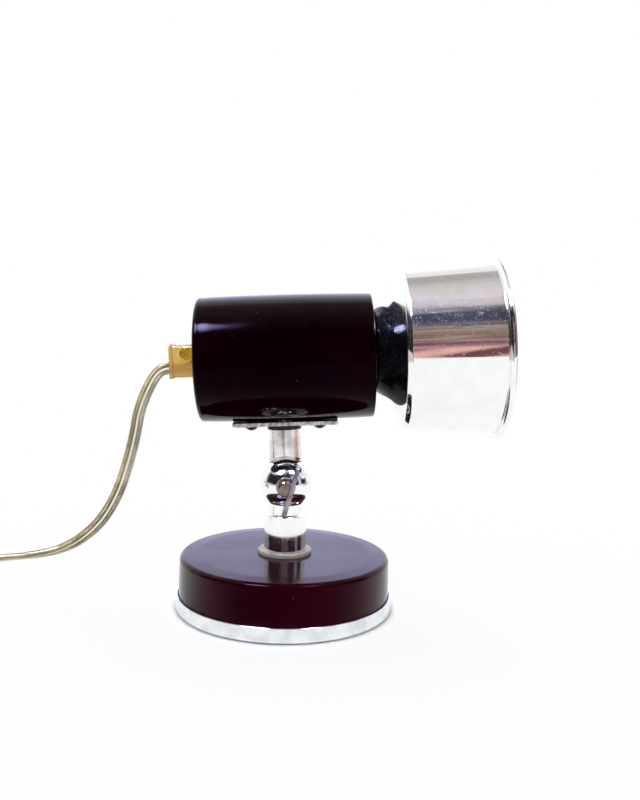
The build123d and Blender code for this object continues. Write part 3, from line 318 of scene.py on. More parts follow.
@dataclass(frozen=True)
class Lacquer(Finish):
    """Stove enamel, sprayed and stoved over steel: almost black burgundy under gloss."""

    slot: str = "oxblood_lacquer"
    colour: str = "#320210"
    shade_colour: str = "#22020a"
    face_tint: str = "#3a1a30"
    ior: float = 1.45
    dust: float = 0.08
    roughness: float = 0.12
    mottle: float = 45 * MM
    orange_peel: float = 1.3 * MM
    speck: float = 1.6 * MM
    speck_colour: str = "#8d8288"
    dust_and_sheen_colour: str = "#c6bcff"
    dust_roughness: float = 0.3
    peel_depth: float = 0.004 * MM
    # where specks of dust lie, what wiping added to the roughness, where the gloss has
    # stayed deeper, and how thick the film of dust has drifted
    speck_groups: Patches = Patches(14.4 * MM, 3.0, (0.56, 0.6), (0.0, 0.4))
    wiped: Patches = Patches(14 * MM, 5.0, (0.3, 0.75), (0.0, 0.06))
    gloss: Patches = Patches(26 * MM, 4.0, (0.38, 0.62), (0.3, 0.6))
    drift: Patches = Patches(24 * MM, 4.0, (0.35, 0.65), (0.45, 1.25))
    # how much dust stays on a face, by how far it looks up
    looks_up: tuple[float, float] = (0.85, 1.0)
    dust_stays: tuple[float, float] = (0.06, 1.0)

    def speckled(self, tree: bpy.types.NodeTree, place: bpy.types.NodeSocket) -> bpy.types.Node:
        """The paint's two tones under specks of dust, which lie in loose groups.

        Args:
            tree: Node tree of the material.
            place: Vector socket in metres.

        Returns:
            A node whose output is the colour.
        """
        tones = ((0.35, self.shade_colour), (0.7, self.colour))
        colour = mottled(tree, place, self.mottle, 3.0, tones)
        cells = add(tree, "TexVoronoi", {"Vector": place, "Scale": 1.0 / (4 * self.speck)})
        dots = add(tree, "MapRange", {0: cells, "From": (0.03, 0.07), "To": (1.0, 0.0)})
        groups = patchy(tree, place, self.speck_groups)
        specks = add(tree, "Math", {"operation": "MULTIPLY", 0: dots, 1: groups})
        mixing = {"data_type": "RGBA", 0: specks, MIX_A: colour, MIX_B: self.speck_colour}
        return add(tree, "Mix", mixing)

    def shade(self, tree: bpy.types.NodeTree, shader: bpy.types.Node) -> None:
        """Deep colour under a gloss skin, with faint orange peel, wiped marks and dust, whose sheen
        is partly a painted glancing reflection.

        Args:
            tree: Node tree of the material.
            shader: Its principled shader.
        """
        coordinates = add(tree, "TexCoord")
        place = coordinates.outputs["Object"]
        wiped = patchy(tree, place, self.wiped)
        rough = add(tree, "Math", {"operation": "ADD", 0: wiped, 1: self.roughness})
        # an uneven film of dust on faces that look up, seen at a glance; its lilac sheen is partly
        # a painted reflection
        upwards = add(tree, "SeparateXYZ", {0: coordinates.outputs["Normal"]}).outputs[2]
        staying = {0: upwards, "From": self.looks_up, "To": self.dust_stays}
        settled = add(tree, "MapRange", staying)
        drift = patchy(tree, place, self.drift)
        film = add(tree, "Math", {"operation": "MULTIPLY", 0: settled, 1: self.dust})
        film = add(tree, "Math", {"operation": "MULTIPLY", 0: film, 1: drift})
        peel = clouds(tree, place, self.orange_peel, 1.0)
        skin = add(tree, "Bump", {"Height": peel, "Distance": self.peel_depth, "Strength": 0.5})
        settings = {
            "Base Color": self.speckled(tree, place),
            "Roughness": rough,
            "IOR": self.ior,
            "Specular IOR Level": patchy(tree, place, self.gloss),
            # face on the deep colour swallows reflections, and they show at a glance
            "Specular Tint": self.face_tint,
            "Sheen Weight": film,
            "Sheen Roughness": self.dust_roughness,
            "Sheen Tint": self.dust_and_sheen_colour,
            "Normal": skin,
        }
        feed(shader, settings)


@dataclass(frozen=True)
class ChromePlate(Finish):
    """Bright chrome plate over spun or turned metal, with handling scratches."""

    slot: str = "chrome"
    colour: str = "#fafbfb"
    clouded_colour: str = "#f6f8f8"
    roughness: float = 0.045
    worn_roughness: float = 0.13
    # height in metres over which the plate has gone satin; at a metre nowhere has
    satin_above: float = 1.0
    satin_roughness: float = 0.16
    satin_edge: float = 1.5 * MM
    cloud: float = 7 * MM
    smear: float = 11 * MM
    # width and length; a real one is much finer, and it is drawn as wide as it needs to show
    scratch_size: tuple[float, float] = (0.16 * MM, 7 * MM)
    # direction in radians and share of the surface of the two sets of scratches
    scratch_sets: tuple[tuple[float, float], ...] = ((0.7, 0.12), (-0.5, 0.08))
    scratch_roughness: float = 0.35
    scratch_depth: float = 0.01 * MM

    def shade(self, tree: bpy.types.NodeTree, shader: bpy.types.Node) -> None:
        """Mirror metal; smears raise the roughness and scratches cut it open.

        Args:
            tree: Node tree of the material.
            shader: Its principled shader.
        """
        place = add(tree, "TexCoord").outputs["Object"]
        polish = (self.roughness, self.worn_roughness)
        smears = patchy(tree, place, Patches(self.smear, 5.0, (0.35, 0.8), polish))
        height = add(tree, "SeparateXYZ", {0: place}).outputs[2]
        edge = (self.satin_above, self.satin_above + self.satin_edge)
        range_of_satin = {0: height, "From": edge, "To": (0.0, self.satin_roughness)}
        satin = add(tree, "MapRange", range_of_satin)
        dull = add(tree, "Math", {"operation": "MAXIMUM", 0: smears, 1: satin})
        first, second = (
            scratches(tree, place, turn, self.scratch_size, share)
            for turn, share in self.scratch_sets
        )
        both = add(tree, "Math", {"operation": "MAXIMUM", 0: first, 1: second})
        cutting = {"operation": "MULTIPLY_ADD", 0: both, 1: self.scratch_roughness, 2: dull}
        tones = ((0.35, self.clouded_colour), (0.6, self.colour))
        relief = {"Height": both, "Distance": self.scratch_depth, "Strength": 0.3}
        settings = {
            "Base Color": mottled(tree, place, self.cloud, 4.0, tones),
            "Metallic": 1.0,
            "Roughness": add(tree, "Math", cutting),
            "Normal": add(tree, "Bump", relief),
        }
        feed(shader, settings)


@dataclass(frozen=True)
class PlainMetal(Finish):
    """Turned or pressed small metal, such as zinc-plated steel, brass or iron."""

    slot: str = "zinc_steel"
    colour: str = "#b9b7b0"
    worn_colour: str = "#8f8d86"
    roughness: float = 0.3
    grain: float = 1.5 * MM
    depth: float = 0.01 * MM

    def shade(self, tree: bpy.types.NodeTree, shader: bpy.types.Node) -> None:
        """Two tones of tarnish and a fine uneven polish.

        Args:
            tree: Node tree of the material.
            shader: Its principled shader.
        """
        place = add(tree, "TexCoord").outputs["Object"]
        tones = ((0.35, self.worn_colour), (0.65, self.colour))
        colour = mottled(tree, place, 4 * self.grain, 4.0, tones)
        feed(shader, {"Base Color": colour, "Metallic": 1.0})
        polish = (0.8 * self.roughness, 1.3 * self.roughness)
        grained(tree, shader, place, (self.grain, 3.0), polish, self.depth, 0.3)


@dataclass(frozen=True)
class CutSheet(Finish):
    """Sheet steel, ground bright along its cut edge; its flat faces, shut in between drum and ball,
    are painted dark as painted shade.
    """

    slot: str = "chrome"
    colour: str = "#f6f6f8"
    worn_colour: str = "#a3a0a8"
    painted_shade_colour: str = "#2a282c"
    roughness: tuple[float, float] = (0.27, 0.44)
    grain: float = 0.5 * MM
    depth: float = 0.01 * MM

    def shade(self, tree: bpy.types.NodeTree, shader: bpy.types.Node) -> None:
        """Mottled bright metal where a face stands upright, and painted shade where it lies flat.

        Args:
            tree: Node tree of the material.
            shader: Its principled shader.
        """
        coordinates = add(tree, "TexCoord")
        place = coordinates.outputs["Object"]
        normal_z = add(tree, "SeparateXYZ", {0: coordinates.outputs["Normal"]}).outputs[2]
        level = add(tree, "Math", {"operation": "ABSOLUTE", 0: normal_z})
        # painted shade: the faces that lie flat get the dark colour
        flat = add(tree, "MapRange", {0: level, "From": (0.6, 0.9)})
        tones = ((0.35, self.worn_colour), (0.65, self.colour))
        edge = mottled(tree, place, 4 * self.grain, 4.0, tones)
        mixing = {"data_type": "RGBA", 0: flat, MIX_A: edge, MIX_B: self.painted_shade_colour}
        feed(shader, {"Base Color": add(tree, "Mix", mixing), "Metallic": 1.0})
        grained(tree, shader, place, (self.grain, 3.0), self.roughness, self.depth, 0.3)


@dataclass(frozen=True)
class Moulding(Finish):
    """Moulded or pressed dull stuff: phenolic, vinyl, rubber, fibre or satin paint."""

    slot: str = "bakelite"
    colour: str = "#1b110e"
    worn_colour: str = "#120b09"
    roughness: float = 0.3
    grain: float = 0.8 * MM
    depth: float = 0.01 * MM

    def shade(self, tree: bpy.types.NodeTree, shader: bpy.types.Node) -> None:
        """Slight mottling, and the moulding's skin as a fine bump.

        Args:
            tree: Node tree of the material.
            shader: Its principled shader.
        """
        place = add(tree, "TexCoord").outputs["Object"]
        tones = ((0.3, self.worn_colour), (0.7, self.colour))
        feed(shader, {"Base Color": mottled(tree, place, 12 * self.grain, 3.0, tones)})
        polish = (0.9 * self.roughness, 1.15 * self.roughness)
        grained(tree, shader, place, (self.grain, 2.0), polish, self.depth, 0.5)


@dataclass(frozen=True)
class AmberResin(Finish):
    """Cast translucent amber plastic: light gathers in it and its skin is glossy."""

    slot: str = "amber_plastic"
    colour: str = "#ffdd80"
    deep_colour: str = "#f8c654"
    darker_colour: str = "#b9842a"
    # height under which the block is coloured darker, and half of the soft edge there
    darker_below: float = 106 * MM
    darker_edge: float = 2 * MM
    cloud: float = 5 * MM
    clear_share: float = 0.55

    def shade(self, tree: bpy.types.NodeTree, shader: bpy.types.Node) -> None:
        """Cloudy honey colour, darker below a height; light passes through.

        Args:
            tree: Node tree of the material.
            shader: Its principled shader.
        """
        place = add(tree, "TexCoord").outputs["Object"]
        tones = ((0.35, self.deep_colour), (0.65, self.colour))
        colour = mottled(tree, place, self.cloud, 3.0, tones)
        height = add(tree, "SeparateXYZ", {0: place}).outputs[2]
        edge = (self.darker_below - self.darker_edge, self.darker_below + self.darker_edge)
        darker_share = add(tree, "MapRange", {0: height, "From": edge, "To": (1.0, 0.0)})
        mixing = {"data_type": "RGBA", 0: darker_share, MIX_A: colour, MIX_B: self.darker_colour}
        settings = {
            "Base Color": add(tree, "Mix", mixing),
            "Roughness": 0.16,
            "IOR": 1.5,
            "Transmission Weight": self.clear_share,
            "Coat Weight": 0.4,
            "Coat Roughness": 0.08,
        }
        feed(shader, settings)


@dataclass(frozen=True)
class ClearVinyl(Finish):
    """Clear soft vinyl of a flat lamp cord, gone faintly yellow."""

    slot: str = "clear_cord"
    colour: str = "#f6f1dc"
    clear_share: float = 0.92
    wave: float = 3 * MM
    wave_depth: float = 0.05 * MM

    def shade(self, tree: bpy.types.NodeTree, shader: bpy.types.Node) -> None:
        """Clear body with a slightly wavy skin.

        Args:
            tree: Node tree of the material.
            shader: Its principled shader.
        """
        waves = clouds(tree, add(tree, "TexCoord").outputs["Object"], self.wave, 2.0)
        relief = {"Height": waves, "Distance": self.wave_depth, "Strength": 0.4}
        settings = {
            "Base Color": self.colour,
            "IOR": 1.4,
            "Transmission Weight": self.clear_share,
            "Roughness": 0.08,
            "Normal": add(tree, "Bump", relief),
        }
        feed(shader, settings)


@dataclass(frozen=True)
class StrandedWire(Finish):
    """Bundle of fine bare strands laid in a long twist."""

    slot: str = "clear_cord"
    colour: str = "#f6e6b6"
    # painted shade in the grooves between strands
    groove_shade_colour: str = "#7f6a38"
    stain_colour: str = "#4a4424"
    # stripes round the wire, and stripes passed along it in one unit of its map; real
    # strands are too fine to show, so they are drawn fewer and coarser
    strands: float = 9.0
    twist: float = 16.0
    strand_depth: float = 0.12 * MM
    stains: Patches = Patches(11 * MM, 5.0, (0.4, 0.65), (0.0, 0.6))

    def shade(self, tree: bpy.types.NodeTree, shader: bpy.types.Node) -> None:
        """Stripes that run slantwise along the wire's own map, over tarnish stains; the dark
        between stripes is painted shade in the grooves between strands.

        Args:
            tree: Node tree of the material.
            shader: Its principled shader.
        """
        wire = add(tree, "UVMap", {"uv_map": "UVMap"})
        along, around, _ = add(tree, "SeparateXYZ", {0: wire}).outputs
        slant = add(tree, "Math", {"operation": "MULTIPLY", 0: along, 1: self.twist})
        laying = {"operation": "MULTIPLY_ADD", 0: around, 1: self.strands, 2: slant}
        phase = add(tree, "Math", {"operation": "PINGPONG", 0: add(tree, "Math", laying), 1: 0.5})
        crown = add(tree, "MapRange", {0: phase, "From": (0.0, 0.5)})
        tones = ((0.0, self.groove_shade_colour), (0.5, self.colour))
        colour = add(tree, "ValToRGB", {0: crown, "stops": tones})
        place = add(tree, "TexCoord").outputs["Object"]
        stains = patchy(tree, place, self.stains)
        mixing = {"data_type": "RGBA", 0: stains, MIX_A: colour, MIX_B: self.stain_colour}
        relief = {"Height": crown, "Distance": self.strand_depth, "Strength": 0.8}
        settings = {
            "Base Color": add(tree, "Mix", mixing),
            "Metallic": 1.0,
            "Roughness": 0.28,
            "Normal": add(tree, "Bump", relief),
        }
        feed(shader, settings)


@dataclass(frozen=True)
class OpalGlass(Finish):
    """Blown bulb glass, coated white inside."""

    slot: str = "opal_glass"
    colour: str = "#f3f1ea"
    thin_colour: str = "#e9e6dc"
    cloud: float = 12 * MM

    def shade(self, tree: bpy.types.NodeTree, shader: bpy.types.Node) -> None:
        """Soft white under a glassy skin, with a trace of uneven coating.

        Args:
            tree: Node tree of the material.
            shader: Its principled shader.
        """
        place = add(tree, "TexCoord").outputs["Object"]
        tones = ((0.3, self.thin_colour), (0.7, self.colour))
        settings = {
            "Base Color": mottled(tree, place, self.cloud, 2.0, tones),
            "Roughness": 0.45,
            "Coat Weight": 1.0,
            "Coat Roughness": 0.04,
        }
        feed(shader, settings)


class Stuff(Enum):
    """Every finish of the lamp."""

    LACQUER = Lacquer()
    CHROME = ChromePlate()
    CLOUDED_CHROME = ChromePlate("chrome", "#f2f6f7", "#dde4e8")
    SWIVEL_CHROME = ChromePlate("chrome", "#f8f8fa", "#d9d2cf", satin_above=72 * MM)
    # the base's lacquer painted darker for the drum: painted shade, as the drum gets less light
    # from the floor
    SHADED_DRUM_LACQUER = Lacquer("oxblood_lacquer", "#150106", "#090003", "#38304a", 1.4, 0.02, 0.06)
    BLACK_DISC = Lacquer("black_disc", "#060508", "#030304", "#343040", 1.48, 0.03, 0.1)
    DARK_RING = PlainMetal("dark_ring", "#4a4440", "#2b2725", 0.35)
    IRON = PlainMetal("cast_iron", "#5a5856", "#3a3836", 0.6, 2.5 * MM)
    RUBBER = Moulding("pad_rubber", "#242424", "#1b1b1b", 0.8, 0.6 * MM, 0.03 * MM)
    SPACER = Moulding("spacer_plastic", "#cbc7ba", "#9c978a", 0.5)
    STEEL = PlainMetal()
    BRASS = PlainMetal("brass", "#ecc650", "#ab8a2c", 0.24)
    DULL_BRASS = PlainMetal("brass", "#867b6a", "#54493c", 0.3)
    CUT_SHEET = CutSheet()
    WORN_CHROME = PlainMetal("chrome", "#a8a2aa", "#7d767e", 0.22, 1.2 * MM)
    WORN_SCREW = PlainMetal("chrome", "#94877c", "#6c6058", 0.16, 1.0 * MM)
    PHENOLIC = Moulding()
    BULB_METAL = PlainMetal("bulb_metal", "#c8c6c0", "#a5a39c", 0.25)
    OPAL = OpalGlass()
    AMBER = AmberResin()
    VINYL = ClearVinyl()
    COPPER = StrandedWire()
    # its last colour is painted shade in the wire's grooves
    TINNED = StrandedWire("clear_cord", "#fbfaf2", "#7f7d6a")
    IVORY = Moulding("cord_fittings", "#e0dac8", "#d2cbb7", 0.35, 0.7 * MM)
    FIBRE = Moulding("fibre", "#6d4a38", "#54382a", 0.7)


# ------------------------------------------------------------------ shapes
@dataclass(frozen=True)
class AxisLine:
    """A line that turned pieces are made about."""

    origin: tuple[float, float, float]
    along: tuple[float, float, float]
    out: tuple[float, float, float]

    def sweep(self, heights: np.ndarray, radii: np.ndarray, turns: np.ndarray) -> np.ndarray:
        """Points at each height and radius, at each turn.

        A point is the origin, plus its height along the axis, plus its radius times the
        cosine of the turn outwards and its sine sideways.

        Args:
            heights: Places along the axis.
            radii: Distances from it, as many.
            turns: Angles in radians.

        Returns:
            Array of heights by turns by three.
        """
        along = np.array(self.along)
        out = np.array(self.out)
        side = np.cross(along, out)
        ring = np.cos(turns)[:, None] * out + np.sin(turns)[:, None] * side
        middle = np.array(self.origin) + heights[:, None] * along
        return middle[:, None, :] + radii[:, None, None] * ring[None, :, :]


def rounded(
    corners: Sequence[tuple[float, float]],
    radii: Sequence[float],
    steps: int = 9,
    closed: bool = False,
) -> np.ndarray:
    """An outline whose corners are arcs.

    Each corner's arc touches both runs. Its points are the centre plus the radius times
    the unit vector that turns evenly from one touching point to the other, which is the
    two end vectors weighted by sines.

    Args:
        corners: Corner points.
        radii: Radius at each corner, or zero for a sharp one.
        steps: Points on an arc.
        closed: Whether the outline goes back to its start.

    Returns:
        Points of the outline, without repeats.
    """
    point = np.array(corners, float)
    size = np.array(radii, float)
    if not closed:
        size[[0, -1]] = 0.0
    before = np.roll(point, 1, axis=0) - point
    after = np.roll(point, -1, axis=0) - point
    before /= np.linalg.norm(before, axis=1, keepdims=True)
    after /= np.linalg.norm(after, axis=1, keepdims=True)
    cosine = np.clip((before * after).sum(axis=1), -1.0, 1.0)
    half = np.arccos(cosine) / 2
    inwards = before + after
    length = np.linalg.norm(inwards, axis=1, keepdims=True)
    inwards = inwards / np.maximum(length, IDENTITY_TOLERANCE)
    centre = point + inwards * (size / np.sin(half))[:, None]
    reach = (size / np.tan(half))[:, None]
    first = point + before * reach - centre
    last = point + after * reach - centre
    turn = (np.pi - 2 * half)[:, None, None]
    share = np.linspace(0.0, 1.0, steps)[None, :, None]
    weight = np.maximum(np.sin(turn), IDENTITY_TOLERANCE)
    arc = np.sin((1 - share) * turn) * first[:, None, :]
    arc = (arc + np.sin(share * turn) * last[:, None, :]) / weight
    line = (centre[:, None, :] + arc).reshape(-1, 2)
    line = np.where(np.repeat(size > 0, steps)[:, None], line, np.repeat(point, steps, axis=0))
    step = np.linalg.norm(np.diff(line, axis=0), axis=1)
    keep = np.concatenate([[True], step > IDENTITY_TOLERANCE])
    line = line[keep]
    if closed and np.linalg.norm(line[0] - line[-1]) < IDENTITY_TOLERANCE:
        line = line[:-1]
    return line


def smooth_line(points: Sequence[tuple[float, float]], steps: int) -> np.ndarray:
    """A smooth line through points: cubic pieces whose slopes follow their neighbours.

    Each piece is the cubic that has its two end points and, as slopes there, half the
    step from the point before to the point after.

    Args:
        points: Points that it passes through.
        steps: Points on each piece.

    Returns:
        Points of the line.
    """
    knot = np.array(points, float)
    slope = np.gradient(knot, axis=0)
    t = np.linspace(0.0, 1.0, steps, endpoint=False)[None, :, None]
    start, end = knot[:-1, None, :], knot[1:, None, :]
    leave, arrive = slope[:-1, None, :], slope[1:, None, :]
    piece = (
        (2 * t**3 - 3 * t**2 + 1) * start
        + (t**3 - 2 * t**2 + t) * leave
        + (3 * t**2 - 2 * t**3) * end
        + (t**3 - t**2) * arrive
    )
    return np.concatenate([piece.reshape(-1, 2), knot[-1:]])


def set_in(line: np.ndarray, wall: float) -> np.ndarray:
    """Moves an open outline of (height, radius) inwards by a wall.

    Each point moves along its normal, which is the line's direction there turned by a
    quarter turn towards the axis.

    Args:
        line: Points of the outline, from rear to front.
        wall: Distance in metres.

    Returns:
        The moved points.
    """
    direction = np.gradient(line, axis=0)
    direction /= np.linalg.norm(direction, axis=1, keepdims=True)
    normal = np.stack([direction[:, 1], -direction[:, 0]], axis=1)
    return line + wall * normal


def finish_mesh(mesh: bpy.types.Mesh) -> None:
    """Points the faces outwards and shades them smooth.

    Args:
        mesh: Closed mesh.
    """
    work = bmesh.new()
    work.from_mesh(mesh)
    bmesh.ops.recalc_face_normals(work, faces=work.faces)
    work.to_mesh(mesh)
    work.free()
    mesh.shade_smooth()


def dress(obj: bpy.types.Object, stuff: Stuff) -> None:
    """Gives an object one finish.

    Args:
        obj: The object.
        stuff: Its finish.
    """
    obj.data.materials.clear()
    obj.data.materials.append(stuff.value.material())


def weigh_normals(obj: bpy.types.Object) -> None:
    """Makes large flat faces keep their normals beside small rounded ones."""
    modifier = obj.modifiers.new("weighted", "WEIGHTED_NORMAL")
    modifier.keep_sharp = True


def turned_piece(
    name: str,
    outline: np.ndarray,
    axis: AxisLine,
    stuff: Stuff,
    body: str,
    nodes: Sequence[str] = (),
    segments: int = 256,
    closed: bool = True,
) -> bpy.types.Object:
    """A turned piece: its outline carried round an axis on a grid.

    A closed outline makes a ring. An open one starts and ends on the axis, where its end
    points close the surface as two poles.

    Args:
        name: Piece's name.
        outline: Points of (height, radius).
        axis: Line that it is turned about.
        stuff: Its finish.
        body: CAD body that it rides on.
        nodes: CAD nodes that it replaces.
        segments: Steps round the axis.
        closed: Whether the outline is closed.

    Returns:
        The new object.
    """
    turns = np.arange(segments) * 2 * np.pi / segments
    rows = outline if closed else outline[1:-1]
    grid = axis.sweep(rows[:, 0], rows[:, 1], turns)
    count = len(rows)
    verts = grid.reshape(-1, 3)
    row = np.arange(count if closed else count - 1)
    column = np.arange(segments)
    first = row[:, None] * segments
    second = ((row + 1) % count)[:, None] * segments
    after = (column + 1) % segments
    quads = np.stack(
        [first + column, first + after, second + after, second + column], axis=-1
    ).reshape(-1, 4)
    faces = quads.tolist()
    if not closed:
        ends = axis.sweep(outline[[0, -1], 0], np.zeros(2), np.zeros(1)).reshape(-1, 3)
        verts = np.concatenate([verts, ends])
        start, end = count * segments, count * segments + 1
        last = (count - 1) * segments
        fan = np.stack([np.full(segments, start), after, column], axis=-1)
        cap = np.stack([np.full(segments, end), last + column, last + after], axis=-1)
        faces += fan.tolist() + cap.tolist()
    mesh = bpy.data.meshes.new(name)
    mesh.from_pydata(verts.tolist(), [], faces)
    finish_mesh(mesh)
    obj = linked(name, mesh)
    weigh_normals(obj)
    return settle(obj, stuff, body, nodes)


def settle(
    obj: bpy.types.Object, stuff: Stuff, body: str, nodes: Sequence[str] = ()
) -> bpy.types.Object:
    """Dresses a piece, lets it ride and hides what it stands for.

    Args:
        obj: The piece.
        stuff: Its finish.
        body: CAD body that it rides on.
        nodes: CAD nodes that it replaces.

    Returns:
        The piece.
    """
    dress(obj, stuff)
    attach(obj, body)
    if nodes:
        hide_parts(*nodes)
    LOG.info("%s rides on %s", obj.name, body)
    return obj


MERGE_DISTANCE = 0.002 * MM
FLAT_ANGLE = math.radians(0.3)
EDGE_ANGLE = math.radians(35)


def eased_copy(node: str, stuff: Stuff, edge: float, body: str) -> bpy.types.Object:
    """A CAD node with its edges broken, as a maker does with a file or a mould.

    The copy's triangles are merged and its flat faces joined, and a small bevel with two
    steps follows every edge that turns by more than EDGE_ANGLE.

    Args:
        node: Name of the CAD node.
        stuff: Its finish.
        edge: Width of the broken edge in metres.
        body: CAD body that it rides on.

    Returns:
        The new object, which replaces the node.
    """
    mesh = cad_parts[node].data.copy()
    work = bmesh.new()
    work.from_mesh(mesh)
    bmesh.ops.remove_doubles(work, verts=work.verts, dist=MERGE_DISTANCE)
    bmesh.ops.dissolve_limit(work, angle_limit=FLAT_ANGLE, verts=work.verts, edges=work.edges)
    work.to_mesh(mesh)
    work.free()
    mesh.shade_smooth()
    obj = linked(node + "_eased", mesh)
    bevel = obj.modifiers.new("edges", "BEVEL")
    bevel.width = edge
    bevel.segments = 2
    bevel.limit_method = "ANGLE"
    bevel.angle_limit = EDGE_ANGLE
    weigh_normals(obj)
    return settle(obj, stuff, body, [node])


def dress_nodes(finishes: dict[Stuff, Sequence[str]]) -> None:
    """Gives CAD nodes that stay as they are their finishes.

    Args:
        finishes: Names of the nodes by finish.
    """
    for stuff, names in finishes.items():
        for name in names:
            dress(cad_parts[name], stuff)
            LOG.info("%s keeps its CAD shape", name)


# ------------------------------------------------------------------ base
@dataclass
class Base:
    """Weighted round base: trim ring, lacquered cover, spacer and collar."""

    axis: AxisLine = AxisLine((0, 0, 0), (0, 0, 1), (1, 0, 0))
    ring_wall: float = 1.1 * MM
    # the ring's section: bottom, outer top, inner top, and round the inside of the foot
    ring_edges: tuple[float, ...] = (0.2 * MM, 0.4 * MM, 0.3 * MM, 0.3 * MM, 0.2 * MM, 0.2 * MM)
    foot_inner: float = 45.0 * MM
    foot: float = 1.2 * MM
    shell_wall: float = 1.2 * MM
    crown_radius: float = 41.0 * MM
    crown_drop: float = 0.55 * MM
    crown_blend: float = 40.0 * MM
    draft: float = 0.6 * MM
    shoulder: float = 2.4 * MM
    nipple_hole: float = 5.15 * MM
    spacer_edge: float = 0.5 * MM
    spacer_foot_edge: float = 0.1 * MM

    def trim_ring(self) -> None:
        """Chrome ring under the cover, with an inward foot."""
        low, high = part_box("base_trim_ring")
        outer, wall, floor = high.x, self.ring_wall, low.z + self.foot
        outline = rounded(
            [
                (low.z, self.foot_inner),
                (low.z, outer),
                (high.z, outer),
                (high.z, outer - wall),
                (floor, outer - wall),
                (floor, self.foot_inner),
            ],
            self.ring_edges,
            closed=True,
        )
        replaced = ["base_trim_ring"]
        turned_piece("trim_ring", outline, self.axis, Stuff.CLOUDED_CHROME, "base", replaced, 320)

    def cover(self) -> None:
        """Lacquered cover: flat top, soft shoulder and slightly drafted side."""
        low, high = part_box("base_shell")
        side, top = high.x, high.z
        outer = rounded(
            [
                (top, self.nipple_hole),
                (top, self.crown_radius),
                (top - self.crown_drop, side - self.draft),
                (low.z, side),
            ],
            [0, self.crown_blend, self.shoulder, 0],
            steps=16,
        )
        inner = set_in(outer, -self.shell_wall)[::-1]
        outline = np.concatenate([outer, inner])
        replaced = ["base_shell"]
        turned_piece("base_cover", outline, self.axis, Stuff.LACQUER, "base", replaced, 320)

    def spacer(self) -> None:
        """Pale washer with a soft rim."""
        low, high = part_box("collar_spacer")
        outline = rounded(
            [
                (low.z, self.nipple_hole),
                (low.z, high.x),
                (high.z, high.x),
                (high.z, self.nipple_hole),
            ],
            [0, self.spacer_foot_edge, self.spacer_edge, 0],
            closed=True,
        )
        replaced = ["collar_spacer"]
        turned_piece("spacer", outline, self.axis, Stuff.SPACER, "base", replaced, 160)

    def build(self) -> None:
        """Builds the base and dresses its CAD pieces."""
        self.trim_ring()
        self.cover()
        self.spacer()
        finishes = {
            Stuff.CHROME: ["stem_collar"],
            Stuff.IRON: ["base_weight"],
            Stuff.RUBBER: ["base_pad"],
            Stuff.STEEL: ["base_nipple", "base_lock_washer", "base_nut", "stop_screw"],
        }
        dress_nodes(finishes)


# ------------------------------------------------------------------ ball swivel
@dataclass
class Swivel:
    """Split ball swivel with its clamp screw and thumb lever."""

    key_edge: float = 0.25 * MM

    def build(self) -> None:
        """Dresses the two halves, and eases the lever's edges."""
        finishes = {
            Stuff.CHROME: ["swivel_lower"],
            Stuff.SWIVEL_CHROME: ["swivel_upper"],
            Stuff.FIBRE: ["friction_disc"],
            Stuff.STEEL: ["spring_washer"],
        }
        dress_nodes(finishes)
        eased_copy("clamp_key", Stuff.WORN_CHROME, self.key_edge, "lever")
        eased_copy("clamp_screw", Stuff.WORN_SCREW, self.key_edge, "lever")


